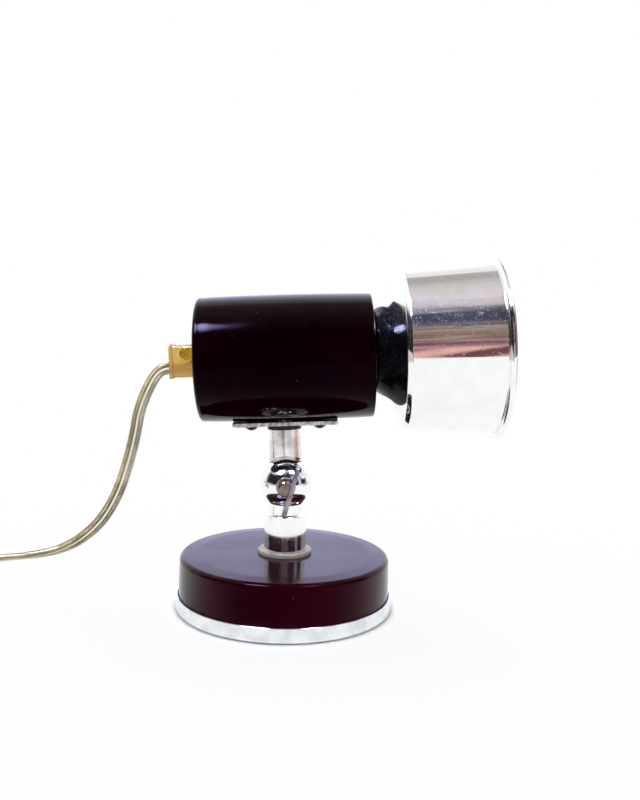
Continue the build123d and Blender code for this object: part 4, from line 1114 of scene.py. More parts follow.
# ------------------------------------------------------------------ head
@dataclass
class Head:
    """Drum housing with its plate, front disc and lampholder."""

    lean: float = math.radians(3.137)
    ball_height: float = 59.0 * MM
    drum_up: float = 59.02 * MM
    rear: float = -38.5 * MM
    front: float = 41.5 * MM
    end_radius: float = 28.7 * MM
    crown: float = 0.55 * MM
    wall: float = 1.2 * MM
    rear_edge: float = 1.9 * MM
    lip_edge: float = 0.55 * MM
    lip_inner_edge: float = 0.3 * MM
    side_points: int = 25
    mouth: float = 20.6 * MM
    optic_up: float = 2.18 * MM
    plate_edge: float = 0.25 * MM

    def axis(self, up: float) -> AxisLine:
        """A line along the head.

        Args:
            up: Height over the ball's centre, square to the line.

        Returns:
            The line, with its heights counted from over the ball.
        """
        cos, sin = math.cos(self.lean), math.sin(self.lean)
        origin = (-up * sin, 0.0, self.ball_height + up * cos)
        return AxisLine(origin, (cos, 0.0, sin), (-sin, 0.0, cos))

    def side(self, inset: float, start: float, end: float) -> np.ndarray:
        """The drum's crowned side: its radius falls off as the square from the middle.

        Args:
            inset: How far inside the drum's outside the line lies.
            start: Place of its first point along the drum.
            end: Place of its last point.

        Returns:
            Points of (place, radius).
        """
        x = np.linspace(start, end, self.side_points)
        middle = (self.rear + self.front) / 2
        half = (self.front - self.rear) / 2
        radius = self.end_radius + self.crown * (1 - ((x - middle) / half) ** 2) - inset
        return np.stack([x, radius], axis=1)

    def drum(self) -> None:
        """Lacquered drum: rear wall, crowned side, lip and inside."""
        edge, lip, wall = self.rear_edge, self.lip_edge, self.wall
        back = rounded(
            [(self.rear, 0), (self.rear, self.end_radius), (self.rear + 2 * edge, self.end_radius)],
            [0, edge, 0],
            steps=14,
        )
        nose = rounded(
            [
                (self.front - 2 * lip, self.end_radius),
                (self.front, self.end_radius),
                (self.front, self.end_radius - wall),
                (self.front - 2 * lip, self.end_radius - wall),
            ],
            [0, lip, self.lip_inner_edge, 0],
        )
        outer = self.side(0.0, self.rear + 3 * edge, self.front - 3 * lip)
        inner = self.side(wall, self.rear + 3 * edge, self.front - 3 * lip)[::-1]
        inside = rounded(
            [
                (self.rear + 3 * edge, self.end_radius - wall),
                (self.rear + wall, self.end_radius - wall),
                (self.rear + wall, 0),
            ],
            [0, edge - wall, 0],
        )
        outline = np.concatenate([back, outer, nose, inner, inside[1:]])
        axis, replaced = self.axis(self.drum_up), ["housing_drum"]
        # the drum's lacquer is painted darker than the base's, as painted shade
        turned_piece("drum", outline, axis, Stuff.SHADED_DRUM_LACQUER, "head", replaced, 320, False)

    def build(self) -> None:
        """Builds the drum and dresses the rest of the head."""
        self.drum()
        eased_copy("mounting_plate", Stuff.CUT_SHEET, self.plate_edge, "head")
        fastening = ["plate_nuts", "stem_nut", "holder_strap", "holder_nipple", "holder_nut"]
        finishes = {
            Stuff.BLACK_DISC: ["housing_front"],
            Stuff.DARK_RING: ["stem_ring"],
            Stuff.DULL_BRASS: ["plate_screws"],
            Stuff.STEEL: fastening,
            Stuff.PHENOLIC: ["holder_cap", "holder_body", "shade_ring"],
            Stuff.BRASS: ["screw_shell", "centre_contact"],
        }
        dress_nodes(finishes)


# ------------------------------------------------------------------ reflector and bulb
@dataclass
class Reflector:
    """Spun bell reflector with a rolled bead, and the bulb in it."""

    head: Head
    neck_back: float = 2.3 * MM
    neck_radius: float = 18.3 * MM
    hole_radius: float = 15.6 * MM
    wall: float = 1.0 * MM
    flare: tuple[tuple[float, float], ...] = (
        (0.0, 18.3),
        (4.3, 21.7),
        (7.7, 25.4),
        (9.8, 29.7),
        (12.8, 36.9),
    )
    shoulder: tuple[float, float] = (14.6 * MM, 38.0 * MM)
    shoulder_edge: float = 1.0 * MM
    mouth: tuple[float, float] = (56.5 * MM, 40.5 * MM)
    bead_radius: float = 1.7 * MM
    bead_outer: float = 43.4 * MM
    # degrees at which the bead leaves the outside of the wall and meets its inside
    bead_turn: tuple[float, float] = (225.0, -80.0)
    bead_overlap: float = 0.5 * MM
    bulb_start: float = 44.0 * MM
    bulb_middle: float = 66.0 * MM
    globe_radius: float = 22.5 * MM
    neck_of_bulb: float = 12.4 * MM

    def axis(self) -> AxisLine:
        """The line that bell, lampholder and bulb stand on, just over the drum's own."""
        return self.head.axis(self.head.drum_up + self.head.optic_up)

    def outside(self) -> np.ndarray:
        """The bell's outside: a smooth flare from the neck, a shoulder and a cylinder.

        Returns:
            Points of (place, radius), from neck to bead.
        """
        front = self.head.front
        neck = np.array([(front - self.neck_back, self.neck_radius)])
        points = [(front + x * MM, r * MM) for x, r in self.flare]
        curve = smooth_line(points, 12)
        shoulder = (front + self.shoulder[0], self.shoulder[1])
        mouth = (front + self.mouth[0], self.mouth[1])
        corner = rounded([points[-1], shoulder, mouth], [0, self.shoulder_edge, 0], steps=14)
        return np.concatenate([neck, curve, corner[1:]])

    def bead(self) -> np.ndarray:
        """The rolled bead's outline, an arc round its own middle.

        Returns:
            Points of (place, radius), from the outside of the wall round to its inside.
        """
        middle_x = self.head.front + self.mouth[0]
        middle_r = self.bead_outer - self.bead_radius
        turn = np.linspace(*np.radians(self.bead_turn), 40)
        x = middle_x + self.bead_radius * np.cos(turn)
        r = middle_r + self.bead_radius * np.sin(turn)
        return np.stack([x, r], axis=1)

    def bell(self) -> None:
        """Bell with its flange, flare, cylinder and bead, as one closed wall."""
        outside = self.outside()
        inside = set_in(outside, self.wall)[::-1]
        behind = outside[outside[:, 0] < self.bead()[0, 0]]
        flange_x = outside[0, 0]
        ahead = inside[inside[:, 0] < self.head.front + self.mouth[0] - self.bead_overlap]
        inner = ahead[ahead[:, 0] > flange_x + self.wall]
        flange = np.array(
            [
                (flange_x + self.wall, self.neck_radius - self.wall),
                (flange_x + self.wall, self.hole_radius),
                (flange_x, self.hole_radius),
            ]
        )
        outline = np.concatenate([behind, self.bead(), inner, flange])
        axis, replaced = self.axis(), ["reflector_bell"]
        turned_piece("bell", outline, axis, Stuff.CHROME, "head", replaced, 360)

    def bulb(self) -> None:
        """Coated globe that runs smoothly into its neck."""
        meet = self.bulb_middle - math.sqrt(self.globe_radius**2 - self.neck_of_bulb**2)
        turn = np.linspace(math.acos((self.bulb_middle - meet) / self.globe_radius), np.pi, 60)
        x = self.bulb_middle - self.globe_radius * np.cos(turn)
        r = self.globe_radius * np.sin(turn)
        globe = np.stack([x, r], axis=1)
        neck = np.array([(self.bulb_start, 0.0), (self.bulb_start, self.neck_of_bulb)])
        outline = np.concatenate([neck, globe])
        axis, replaced = self.axis(), ["bulb_glass"]
        turned_piece("bulb", outline, axis, Stuff.OPAL, "head", replaced, 192, False)

    def build(self) -> None:
        """Builds bell and bulb."""
        self.bell()
        self.bulb()
        dress_nodes({Stuff.BULB_METAL: ["bulb_base"]})


# ------------------------------------------------------------------ cord
@dataclass
class CordSet:
    """Flat clear cord with its grip, the switch on it, its coil and its plug."""

    exit_x: float = -54.47 * MM
    heading: float = math.radians(186.0)
    width: float = 5.7 * MM
    thickness: float = 2.9 * MM
    # how soon the section's round lobes part, and the groove between them
    lobe_spread: float = 2.2
    groove_share: float = 0.2
    groove_width: float = 0.35 * MM
    wire_radius: float = 0.95 * MM
    wire_sides: int = 10
    # distance along the cord that is one unit of its map
    map_unit: float = 10 * MM
    mould_edge: float = 0.3 * MM
    wheel_edge: float = 0.15 * MM
    blade_edge: float = 0.1 * MM
    turn_points: int = 16
    # the route in the cord's own upright plane: distance from the exit, height
    route: tuple[tuple[float, float], ...] = (
        (0.0, 111.8),
        (4.4, 111.3),
        (7.9, 107.7),
        (11.3, 101.0),
        (14.9, 91.3),
        (16.5, 80.2),
        (19.6, 67.0),
        (24.6, 51.3),
        (33.2, 37.0),
        (47.4, 26.5),
        (64.0, 23.1),
        (81.0, 22.2),
        (98.0, 16.8),
        (113.0, 8.55),
        (127.0, 8.55),
    )
    # ends of the hanging part, at the head and at the coil; nothing bends the cord by them
    bend_start: tuple[float, float, float] = (-0.0575, 0.0, 0.1115)
    bend_end: tuple[float, float, float] = (-0.115, -0.006, 0.027)
    # distance along the cord and how far it is turned there, in degrees
    twist: tuple[tuple[float, float], ...] = (
        (70 * MM, 0),
        (85 * MM, 12),
        (110 * MM, 55),
        (122 * MM, 66),
        (140 * MM, 66),
        (152 * MM, 50),
        (170 * MM, 10),
        (180 * MM, 0),
    )
    switch_length: float = 56.0 * MM
    coil_from_switch: float = 36.0 * MM
    coil_radius: float = 31.0 * MM
    plug_from_coil: float = 34.0 * MM
    plug_height: float = 5.75 * MM
    # column and layer of each turn in the coil, counted from its middle
    slots: tuple[tuple[int, int], ...] = (
        (1, 0),
        (1, 1),
        (0, 1),
        (-1, 1),
        (-1, 0),
        (-1, -1),
        (0, -1),
        (1, -1),
    )

    def to_frame(self, points: np.ndarray) -> np.ndarray:
        """Points of the cord's own frame in the lamp's frame.

        Args:
            points: Distance from the exit, distance to the left, height.

        Returns:
            The points, turned to the cord's heading and moved to its exit.
        """
        cos, sin = math.cos(self.heading), math.sin(self.heading)
        x = self.exit_x + points[:, 0] * cos - points[:, 1] * sin
        y = points[:, 0] * sin + points[:, 1] * cos
        return np.stack([x, y, points[:, 2]], axis=1)

    def coil_points(self) -> np.ndarray:
        """Control points of the coil's turns and of the tail to the plug.

        The radius and height of a point are those of its turn's slot, and over the last
        quarter of a turn they move to the next slot. The radius is divided by the
        cosine of half a step, because the cord's line cuts inside its control points.

        Returns:
            Points in the cord's own frame.
        """
        middle = self.width * 1.5
        lead = self.coil_radius + self.width
        start = self.route[-1][0] * MM + self.switch_length
        centre_x = start + self.coil_from_switch
        slots = np.array(self.slots, float)
        last_turn = len(self.slots) - 0.5
        turn = np.arange(0, last_turn + 0.01, 1 / self.turn_points)
        index = np.minimum(turn.astype(int), len(self.slots) - 1)
        after = np.minimum(index + 1, len(self.slots) - 1)
        share = np.clip((turn - index - 0.75) / 0.25, 0, 1)[:, None]
        slot = (1 - share) * slots[index] + share * slots[after]
        step = np.pi / self.turn_points
        radius = (self.coil_radius + slot[:, 0] * self.width) / math.cos(step)
        height = middle + slot[:, 1] * self.width
        angle = np.pi / 2 - 2 * np.pi * turn
        x = centre_x + radius * np.cos(angle)
        y = -lead + radius * np.sin(angle)
        turns = np.stack([x, y, height], axis=1)[1:-1]
        tail_y = -2 * lead
        tail = np.array(
            [
                (centre_x - 0.3 * self.plug_from_coil, tail_y, height[-1]),
                (centre_x - 0.7 * self.plug_from_coil, tail_y, self.plug_height),
                (centre_x - self.plug_from_coil, tail_y, self.plug_height),
            ]
        )
        return np.concatenate([turns, tail])

    def line(self) -> np.ndarray:
        """The cord's smooth line, read from one NURBS spline.

        Returns:
            Points of the line in the lamp's frame.
        """
        route = np.array(self.route) * MM
        visible = np.stack([route[:, 0], np.zeros(len(route)), route[:, 1]], axis=1)
        end = visible[-1]
        through = np.array(
            [
                end + (self.switch_length * 0.5, 0, 0),
                end + (self.switch_length, 0, 0),
                end + (self.switch_length + 0.5 * self.coil_from_switch, 0, 0),
            ]
        )
        points = self.to_frame(np.concatenate([visible, through, self.coil_points()]))
        curve = bpy.data.curves.new("cord_line", "CURVE")
        curve.dimensions = "3D"
        curve.resolution_u = 8
        spline = curve.splines.new("NURBS")
        spline.points.add(len(points) - 1)
        weighted = np.concatenate([points, np.ones((len(points), 1))], axis=1)
        spline.points.foreach_set("co", weighted.ravel())
        spline.order_u = 3
        spline.use_endpoint_u = True
        guide = linked("cord_line", curve)
        bpy.context.view_layer.update()
        mesh = bpy.data.meshes.new_from_object(guide)
        line = np.zeros(len(mesh.vertices) * 3)
        mesh.vertices.foreach_get("co", line)
        bpy.data.objects.remove(guide)
        bpy.data.curves.remove(curve)
        bpy.data.meshes.remove(mesh)
        return line.reshape(-1, 3)

    def frames(self, line: np.ndarray) -> tuple[np.ndarray, np.ndarray]:
        """Directions across the cord at each point of its line.

        The thin direction is level, the upward direction crossed with the line's own,
        and the wide one is square to both. Over a short stretch both are turned about
        the line, because a flat cord likes to lie on its flat side there.

        Args:
            line: Points of the line.

        Returns:
            Wide and thin unit vectors.
        """
        along = np.gradient(line, axis=0)
        along /= np.linalg.norm(along, axis=1, keepdims=True)
        thin = np.cross(np.array([0.0, 0.0, 1.0]), along)
        thin /= np.linalg.norm(thin, axis=1, keepdims=True)
        wide = np.cross(along, thin)
        step = np.linalg.norm(np.diff(line, axis=0), axis=1)
        travelled = np.concatenate([[0.0], np.cumsum(step)])
        places, turns = zip(*self.twist)
        turn = np.radians(np.interp(travelled, places, turns))[:, None]
        turned = np.cos(turn) * wide + np.sin(turn) * thin
        return turned, np.cos(turn) * thin - np.sin(turn) * wide

    def section(self, count: int = 32) -> np.ndarray:
        """Outline of the flat twin cord: two round lobes with a shallow groove.

        The distance from the middle is that of a rounded slot, and near the thin
        direction it is drawn in a little, which makes the groove.

        Args:
            count: Points on the outline.

        Returns:
            Points of (wide, thin).
        """
        angle = np.arange(count) * 2 * np.pi / count
        offset = (self.width - self.thickness) / 2
        lobe = self.thickness / 2
        parted = np.clip(np.abs(np.cos(angle)) * self.lobe_spread, 0, 1)
        wide = np.sign(np.cos(angle)) * offset * parted + lobe * np.cos(angle)
        thin = lobe * np.sin(angle)
        groove = 1 - self.groove_share * np.exp(-((wide / self.groove_width) ** 2))
        return np.stack([wide, thin * groove], axis=1)

    def sweep(
        self, name: str, line: np.ndarray, section: np.ndarray, offset: float, stuff: Stuff
    ) -> bpy.types.Object:
        """Carries a section along the line as a grid with two caps.

        A point is the line's point, plus its wide and thin parts times the directions
        across the cord there. The map's first part is the distance along the cord in
        map units and its second part goes once round.

        Args:
            name: Piece's name.
            line: Points of the line.
            section: Outline of (wide, thin).
            offset: How far the section's middle lies along the wide direction.
            stuff: Its finish.

        Returns:
            The new object.
        """
        wide, thin = self.frames(line)
        across = section + np.array([offset, 0.0])
        grid = (
            line[:, None, :]
            + across[None, :, 0, None] * wide[:, None, :]
            + across[None, :, 1, None] * thin[:, None, :]
        )
        count, around = len(line), len(section)
        row = np.arange(count - 1)[:, None] * around
        column = np.arange(around)
        after = (column + 1) % around
        quads = np.stack(
            [row + column, row + after, row + around + after, row + around + column],
            axis=-1,
        ).reshape(-1, 4)
        caps = [list(range(around)), list(range((count - 1) * around, count * around))]
        mesh = bpy.data.meshes.new(name)
        mesh.from_pydata(grid.reshape(-1, 3).tolist(), [], quads.tolist() + caps)
        step = np.linalg.norm(np.diff(line, axis=0), axis=1)
        travelled = np.concatenate([[0.0], np.cumsum(step)]) / self.map_unit
        u = np.repeat(travelled, around)
        v = np.tile(column / around, count)
        loops = np.zeros(len(mesh.loops), int)
        mesh.loops.foreach_get("vertex_index", loops)
        seam = np.zeros(len(loops))
        seam[: len(quads) * 4] = np.tile(
            np.repeat((after == 0)[:, None], 4, axis=1) & [False, True, True, False],
            (count - 1, 1, 1),
        ).ravel()
        layer = mesh.uv_layers.new(name="UVMap")
        layer.data.foreach_set("uv", np.stack([u[loops], v[loops] + seam], axis=1).ravel())
        finish_mesh(mesh)
        obj = linked(name, mesh)
        dress(obj, stuff)
        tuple(self.bend_start)
        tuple(self.bend_end)
        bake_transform(obj)
        return obj

    def grip(self) -> None:
        """Amber block with its brass screw, on the drum's rear wall."""
        eased_copy("cord_grip", Stuff.AMBER, self.mould_edge, "head")
        finishes = {
            Stuff.BRASS: ["grip_screw"],
            Stuff.STEEL: ["grip_nut"],
            Stuff.VINYL: ["lead_inside"],
        }
        dress_nodes(finishes)

    def fittings(self) -> list[bpy.types.Object]:
        """Switch and plug.

        Returns:
            The pieces that are on the cord.
        """
        covers = [
            eased_copy(node, Stuff.IVORY, self.mould_edge, "swivel")
            for node in ("switch_base", "switch_cover", "plug_body")
        ]
        wheel = eased_copy("switch_wheel", Stuff.PHENOLIC, self.wheel_edge, "wheel")
        blades = eased_copy("plug_blades", Stuff.BRASS, self.blade_edge, "swivel")
        dress_nodes({Stuff.STEEL: ["switch_screws"]})
        return [*covers, wheel, blades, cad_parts["switch_screws"]]

    def build(self) -> None:
        self.grip()
        line = self.line()
        lobe = (self.width - self.thickness) / 2
        turn = np.arange(self.wire_sides) * 2 * np.pi / self.wire_sides
        ring = self.wire_radius * np.stack([np.cos(turn), np.sin(turn)], axis=1)
        cord = self.sweep("cord", line, self.section(), 0.0, Stuff.VINYL)
        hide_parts("cord_tube", "cord_coil")
        wires = [
            self.sweep("wire_copper", line, ring, lobe, Stuff.COPPER),
            self.sweep("wire_tinned", line, ring, -lobe, Stuff.TINNED),
        ]
        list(self.fittings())


# ------------------------------------------------------------------ studio
# the room's few paints and cloths, and one painted shadow, as plain colours that its tables name
# again and again
WHITE = "#ffffff"
COOL_WHITE = "#ececff"
CREAM = "#f0ece4"
PALE = "#d0c8c8"
STONE = "#b0a8a8"
GREY = "#888888"
SLATE = "#383840"
NIGHT = "#283048"
PLUM = "#583850"
BROWN = "#684444"
TAN = "#b8a098"
ROSE = "#b88888"
PINK = "#f0b4ac"
GOLD = "#b8a060"
CORAL = "#d89890"
# painted shadow of the camera on the ground, which only gloss sees
PAINTED_SHADOW = "#484848"


def any_ray(tree: bpy.types.NodeTree, *kinds: str) -> bpy.types.NodeSocket | bpy.types.Node:
    """Tells some kinds of ray from the others.

    Args:
        tree: Node tree of a material or the world.
        kinds: Camera, Glossy or Transmission.

    Returns:
        A socket or node whose output is one for a ray of any of these kinds, or zero.
    """
    path = add(tree, "LightPath")
    seen = path.outputs[f"Is {kinds[0]} Ray"]
    for kind in kinds[1:]:
        ray = path.outputs[f"Is {kind} Ray"]
        seen = add(tree, "Math", {"operation": "MAXIMUM", 0: seen, 1: ray})
    return seen


def bearing(
    tree: bpy.types.NodeTree,
    x: bpy.types.NodeSocket,
    y: bpy.types.NodeSocket,
    stops: Sequence[tuple[float, str]],
) -> bpy.types.Node:
    """Colour of what lies in a direction, by its share of the way round.

    The share starts behind and goes over the left, the front and the right. It is the
    arc tangent of X over minus Y, from minus pi to pi, laid out from 0 to 1.

    Args:
        tree: Node tree of a material or the world.
        x: X of the direction.
        y: Y of the direction.
        stops: Share and hex code of each colour, in rising order.

    Returns:
        A node whose output is the colour.
    """
    forwards = add(tree, "Math", {"operation": "MULTIPLY", 0: y, 1: -1.0})
    azimuth = add(tree, "Math", {"operation": "ARCTAN2", 0: x, 1: forwards})
    share = add(tree, "MapRange", {0: azimuth, "From": (-math.pi, math.pi)})
    return add(tree, "ValToRGB", {0: share, "stops": stops})


@dataclass
class Studio:
    """Camera, pale floor, soft lamps and the room that the chrome shows."""

    camera_place: tuple[float, float, float] = (0.00516, -0.38847, 0.13606)
    yaw: float = math.radians(-1.434)
    pitch: float = math.radians(5.511)
    roll: float = math.radians(1.544)
    lens: float = 37.493
    floor_front: float = -0.74
    floor_back: float = 3.0
    # distances from the lamp's middle: the floor keeps its shade up to the first pair,
    # is lifted towards white over the second, and turns duller in gloss over the third
    shaded_to: tuple[float, float] = (0.0515, 0.0535)
    lifted_over: tuple[float, float] = (0.06, 0.30)
    lift: tuple[float, float] = (0.88, 1.0)
    dull_beyond: tuple[float, float] = (0.40, 0.47)
    # streaks turn the room's colours by up to this angle each way
    streak: float = math.radians(5.0)
    streak_size: float = 0.10
    streak_stretch: tuple[float, float, float] = (3.0, 1.0, 0.8)
    hue_size: float = 0.05
    hue_stretch: tuple[float, float, float] = (1.8, 1.0, 0.6)
    hue_share: float = 0.75
    # degrees up from the front horizon over which these set in or end
    streaks_begin: tuple[float, float] = (2.0, 12.0)
    hues_begin: tuple[float, float] = (8.0, 14.0)
    hues_end: tuple[float, float] = (27.0, 39.0)
    skirting_ends: tuple[float, float] = (2.0, 5.0)
    # the skirting leans: how far it moves to the right per radian up, and to begin with
    skirting_lean: tuple[float, float] = (-0.33, -0.052)
    # how far to a side, of one, the walls begin; how high the ceiling does, where that
    # height grows to the sides by the rise
    sides_begin: tuple[float, float] = (0.24, 0.34)
    ceiling_begins: tuple[float, float] = (0.8, 0.9)
    ceiling_rise: float = 0.35
    # name, place, width and height, and watts
    lamps: tuple[tuple[str, tuple[float, ...], tuple[float, float], float], ...] = (
        ("overhead", (0.1, 0.55, 1.3), (1.2, 0.8), 9.0),
        ("window", (-0.38, -0.72, 1.38), (0.34, 0.16), 2.4),
    )
    lamp_aim: tuple[float, float, float] = (0.0, 0.0, 0.08)
    world_strength: float = 0.62
    # degrees up from the front horizon, over the top and down behind: the two ends of
    # the colour ramp, and where each colour lies on it
    ramp_ends: tuple[float, float] = (-20.0, 180.0)
    room_bands: tuple[tuple[float, str], ...] = (
        (-1, PINK),
        (4, ROSE),
        (9, PLUM),
        (15, ROSE),
        (20, BROWN),
        (26, TAN),
        (31, NIGHT),
        (50, SLATE),
        (54, GREY),
        (62, STONE),
        (75, PALE),
        (89, PALE),
        (105, STONE),
        (115, STONE),
        (119, CREAM),
        (140, CREAM),
        (160, COOL_WHITE),
    )
    # share of the way round, as bearing takes it; the dark stretch just left of the front is the
    # painted shadow
    ground_around: tuple[tuple[float, str], ...] = (
        (0.16, WHITE),
        (0.19, PALE),
        (0.43, PALE),
        (0.455, GREY),
        (0.47, PAINTED_SHADOW),
        (0.498, PAINTED_SHADOW),
        (0.505, WHITE),
        (0.67, WHITE),
        (0.76, CORAL),
        (0.84, WHITE),
    )
    walls_around: tuple[tuple[float, str], ...] = (
        (0.20, WHITE),
        (0.235, "#2f2628"),
        (0.36, "#2a2226"),
        (0.655, "#2a2226"),
        (0.67, "#c9cfee"),
        (0.69, "#c9cfee"),
        (0.705, "#2a2226"),
        (0.765, "#2f2628"),
        (0.80, WHITE),
    )
    # how far to the right a direction near the horizon points, laid out from 0 to 1
    skirting: tuple[tuple[float, str], ...] = (
        (0.44, PALE),
        (0.465, STONE),
        (0.478, BROWN),
        (0.492, PINK),
        (0.513, PINK),
        (0.520, BROWN),
        (0.548, BROWN),
        (0.560, PINK),
        (0.60, PALE),
        (0.64, WHITE),
    )
    hues: tuple[tuple[float, str], ...] = (
        (0.36, NIGHT),
        (0.43, ROSE),
        (0.48, NIGHT),
        (0.53, GOLD),
        (0.58, PLUM),
        (0.64, PALE),
    )
    # direction, half angle, strength and colour of what the gloss shows as highlights
    glints: tuple[tuple[tuple[float, float, float], float, float, str], ...] = (
        ((-0.35, -0.42, 0.84), 0.20, 200.0, "#d0d8ff"),
        ((0.36, -0.42, 0.83), 0.14, 90.0, "#f4e6ff"),
        ((0.38, 0.53, 0.76), 0.15, 12.0, "#e8e8ff"),
        ((0.0, 0.965, 0.26), 0.7, 0.75, "#b4b8ff"),
    )

    def camera(self) -> None:
        """Camera whose axes come from yaw, downward pitch and roll."""
        sy, cy = math.sin(self.yaw), math.cos(self.yaw)
        sp, cp = math.sin(self.pitch), math.cos(self.pitch)
        right = Vector((cy, sy, 0.0))
        up = Vector((-sy * sp, cy * sp, cp))
        forward = Vector((-sy * cp, cy * cp, -sp))
        cr, sr = math.cos(self.roll), math.sin(self.roll)
        right, up = right * cr + up * sr, up * cr - right * sr
        data = bpy.data.cameras.new("camera")
        data.lens = self.lens
        data.sensor_width = 36.0
        data.clip_start = 0.01
        obj = linked("camera", data)
        turn = Matrix((right, up, -forward)).transposed().to_4x4()
        obj.matrix_world = Matrix.Translation(self.camera_place) @ turn
        bpy.context.scene.camera = obj

    def floor(self) -> None:
        """Pale floor, lifted to white where the camera or a gloss sees it.

        Under the lamp it keeps its own shade, so that the gap under the base stays dark. Gloss sees
        duller ground far to the front, with a painted shadow of the camera on it.
        """
        near, far = self.floor_front, self.floor_back
        corners = [(-far, near, 0), (far, near, 0), (far, far, 0), (-far, far, 0)]
        mesh = bpy.data.meshes.new("floor")
        mesh.from_pydata(corners, [], [(0, 1, 2, 3)])
        obj = linked("floor", mesh)
        paper = bpy.data.materials.new("White_Paper")
        paper.use_nodes = True
        tree = paper.node_tree
        tree.nodes.remove(tree.nodes["Principled BSDF"])
        place = add(tree, "TexCoord").outputs["Object"]
        x, y, _ = add(tree, "SeparateXYZ", {0: place}).outputs
        distance = add(tree, "VectorMath", {"operation": "LENGTH", 0: place})
        around = bearing(tree, x, y, self.ground_around)
        dull = add(tree, "MapRange", {0: distance, "From": self.dull_beyond})
        mixing = {"data_type": "RGBA", 0: dull, MIX_A: WHITE, MIX_B: around}
        ground = add(tree, "Mix", mixing)
        mixing = {"data_type": "RGBA", 0: any_ray(tree, "Camera"), MIX_A: ground, MIX_B: WHITE}
        glow = add(tree, "Emission", {"Color": add(tree, "Mix", mixing), "Strength": 1.0})
        matt = add(tree, "BsdfDiffuse", {"Color": "#f4f4f4"})
        seen = any_ray(tree, "Camera", "Glossy", "Transmission")
        open_floor = add(tree, "MapRange", {0: distance, "From": self.shaded_to})
        share = add(tree, "Math", {"operation": "MULTIPLY", 0: seen, 1: open_floor})
        lift = add(tree, "MapRange", {0: distance, "From": self.lifted_over, "To": self.lift})
        lifted = add(tree, "Math", {"operation": "MULTIPLY", 0: share, 1: lift})
        paint = add(tree, "MixShader", {0: lifted, 1: matt, 2: glow})
        feed(tree.nodes["Material Output"], {0: paint})
        mesh.materials.append(paper)

    def front(
        self,
        tree: bpy.types.NodeTree,
        way: bpy.types.NodeSocket,
        x: bpy.types.NodeSocket,
        angle: bpy.types.Node,
    ) -> bpy.types.Node:
        """Colours of the room in front, over the top and down behind.

        Noise along the angle breaks the bands into streaks, patches of other hues lie
        over the lower bands, and a skirting runs along the horizon.

        Args:
            tree: The world's node tree.
            way: Direction.
            x: X of the direction.
            angle: Angle up from the front horizon, in radians.

        Returns:
            A node whose output is the colour.
        """

        def over(degrees: tuple[float, float], values: tuple[float, float]) -> bpy.types.Node:
            """A value that changes where the angle goes from one limit to the other."""
            return add(tree, "MapRange", {0: angle, "From": np.radians(degrees), "To": values})

        turned = (-self.streak, self.streak)
        streaks = Patches(self.streak_size, 3.0, (0.3, 0.7), turned, self.streak_stretch)
        moved = add(tree, "Math", {"operation": "ADD", 0: angle, 1: patchy(tree, way, streaks)})
        streaked = over(self.streaks_begin, (0.0, 1.0))
        bent = add(tree, "Mix", {"data_type": "FLOAT", 0: streaked, 2: angle, 3: moved})
        low, high = self.ramp_ends
        height = add(tree, "MapRange", {0: bent, "From": np.radians(self.ramp_ends)})
        stops = [((degrees - low) / (high - low), code) for degrees, code in self.room_bands]
        bands = add(tree, "ValToRGB", {0: height, "stops": stops})
        tints = clouds(tree, way, self.hue_size, 3.0, self.hue_stretch)
        colours = add(tree, "ValToRGB", {0: tints, "stops": self.hues})
        above = over(self.hues_begin, (0.0, self.hue_share))
        below = over(self.hues_end, (1.0, 0.0))
        share = add(tree, "Math", {"operation": "MULTIPLY", 0: above, 1: below})
        bands = add(tree, "Mix", {"data_type": "RGBA", 0: share, MIX_A: bands, MIX_B: colours})
        lean, start = self.skirting_lean
        slant = add(tree, "Math", {"operation": "MULTIPLY_ADD", 0: angle, 1: lean, 2: start})
        aside = add(tree, "Math", {"operation": "ADD", 0: x, 1: slant})
        right = add(tree, "MapRange", {0: aside, "From": (-1.0, 1.0)})
        skirting = add(tree, "ValToRGB", {0: right, "stops": self.skirting})
        under = over(self.skirting_ends, (1.0, 0.0))
        return add(tree, "Mix", {"data_type": "RGBA", 0: under, MIX_A: bands, MIX_B: skirting})

    def gloss(self, tree: bpy.types.NodeTree) -> bpy.types.Node:
        """The room as gloss sees it.

        Towards the front, over the top and behind its colour depends on the angle up
        from the front horizon. To the sides there are dark walls under a white ceiling,
        with one bright doorway. Small bright glints are added on top.

        Args:
            tree: The world's node tree.

        Returns:
            A node whose output is the background.
        """
        way = add(tree, "TexCoord").outputs["Generated"]
        x, y, z = add(tree, "SeparateXYZ", {0: way}).outputs
        forwards = add(tree, "Math", {"operation": "MULTIPLY", 0: y, 1: -1.0})
        angle = add(tree, "Math", {"operation": "ARCTAN2", 0: z, 1: forwards})
        bands = self.front(tree, way, x, angle)
        sideways = add(tree, "Math", {"operation": "ABSOLUTE", 0: x})
        walls = bearing(tree, x, y, self.walls_around)
        rising = {"operation": "MULTIPLY_ADD", 0: sideways, 1: self.ceiling_rise, 2: z}
        lifted = add(tree, "Math", rising)
        high = add(tree, "MapRange", {0: lifted, "From": self.ceiling_begins})
        sides = add(tree, "Mix", {"data_type": "RGBA", 0: high, MIX_A: walls, MIX_B: WHITE})
        beside = add(tree, "MapRange", {0: sideways, "From": self.sides_begin})
        seen = add(tree, "Mix", {"data_type": "RGBA", 0: beside, MIX_A: bands, MIX_B: sides})
        gloss = add(tree, "Background", {"Color": seen})
        for direction, half, strength, colour in self.glints:
            towards = tuple(Vector(direction).normalized())
            dot = add(tree, "VectorMath", {"operation": "DOT_PRODUCT", 0: way, 1: towards})
            edge = (math.cos(half), math.cos(half / 2))
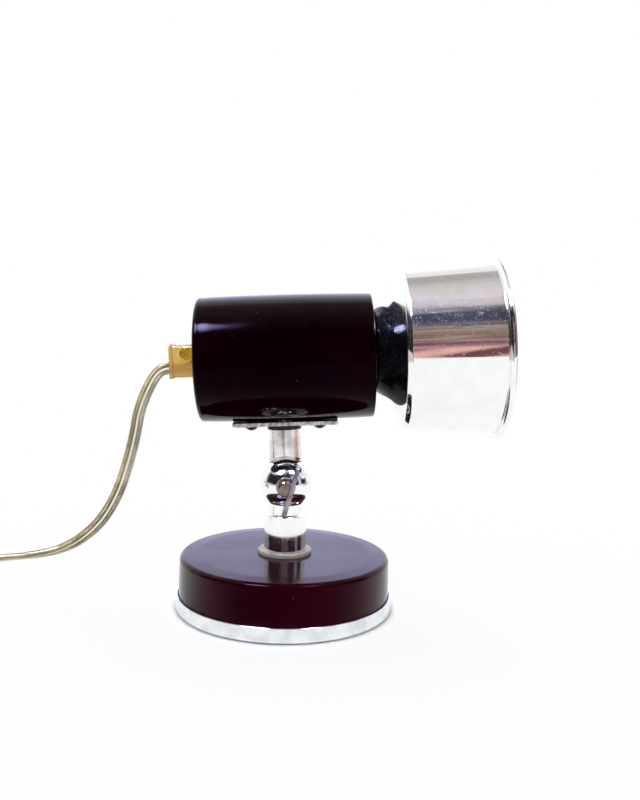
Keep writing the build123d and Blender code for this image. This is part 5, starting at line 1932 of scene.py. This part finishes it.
            power = add(tree, "MapRange", {0: dot, "From": edge, "To": (0.0, strength)})
            glint = add(tree, "Background", {"Color": colour, "Strength": power})
            gloss = add(tree, "AddShader", {0: gloss, 1: glint})
        return gloss

    def room(self) -> None:
        """World: plain white for the camera, plain grey for diffuse light, a room for gloss."""
        world = bpy.data.worlds.new("studio")
        world.use_nodes = True
        bpy.context.scene.world = world
        tree = world.node_tree
        tree.nodes.clear()
        gloss = self.gloss(tree)
        white = add(tree, "Background", {"Color": WHITE, "Strength": 1.0})
        soft = add(tree, "Background", {"Color": WHITE, "Strength": self.world_strength})
        shiny = any_ray(tree, "Glossy", "Transmission")
        inner = add(tree, "MixShader", {0: shiny, 1: soft, 2: gloss})
        outer = add(tree, "MixShader", {0: any_ray(tree, "Camera"), 1: inner, 2: white})
        add(tree, "OutputWorld", {0: outer, "is_active_output": True})

    def lamp(
        self, name: str, place: tuple[float, ...], size: tuple[float, float], power: float
    ) -> None:
        """A soft white lamp that looks at the ball swivel and that gloss doesn't show.

        Args:
            name: Lamp's name.
            place: Its middle.
            size: Width and height.
            power: Watts.
        """
        data = bpy.data.lights.new(name, "AREA")
        data.shape = "RECTANGLE"
        data.size, data.size_y = size
        data.energy = power
        obj = linked(name, data)
        obj.visible_glossy = False
        way = Vector(self.lamp_aim) - Vector(place)
        turn = way.to_track_quat("-Z", "Y").to_matrix().to_4x4()
        obj.matrix_world = Matrix.Translation(place) @ turn

    def build(self) -> None:
        """Sets up camera, floor, room and lamps."""
        bpy.context.scene.view_settings.view_transform = "Standard"
        self.camera()
        self.floor()
        self.room()
        for lamp in self.lamps:
            self.lamp(*lamp)


def main() -> None:
    """Builds the lamp and its studio and logs each piece."""
    logging.basicConfig(level=logging.INFO, format="%(name)s: %(message)s")
    head = Head()
    makers: Sequence[Callable[[], None]] = (
        Studio().build,
        CordSet().build,
        Base().build,
        Swivel().build,
        head.build,
        Reflector(head).build,
    )
    for build in makers:
        build()


if __name__ == "__main__":
    main()
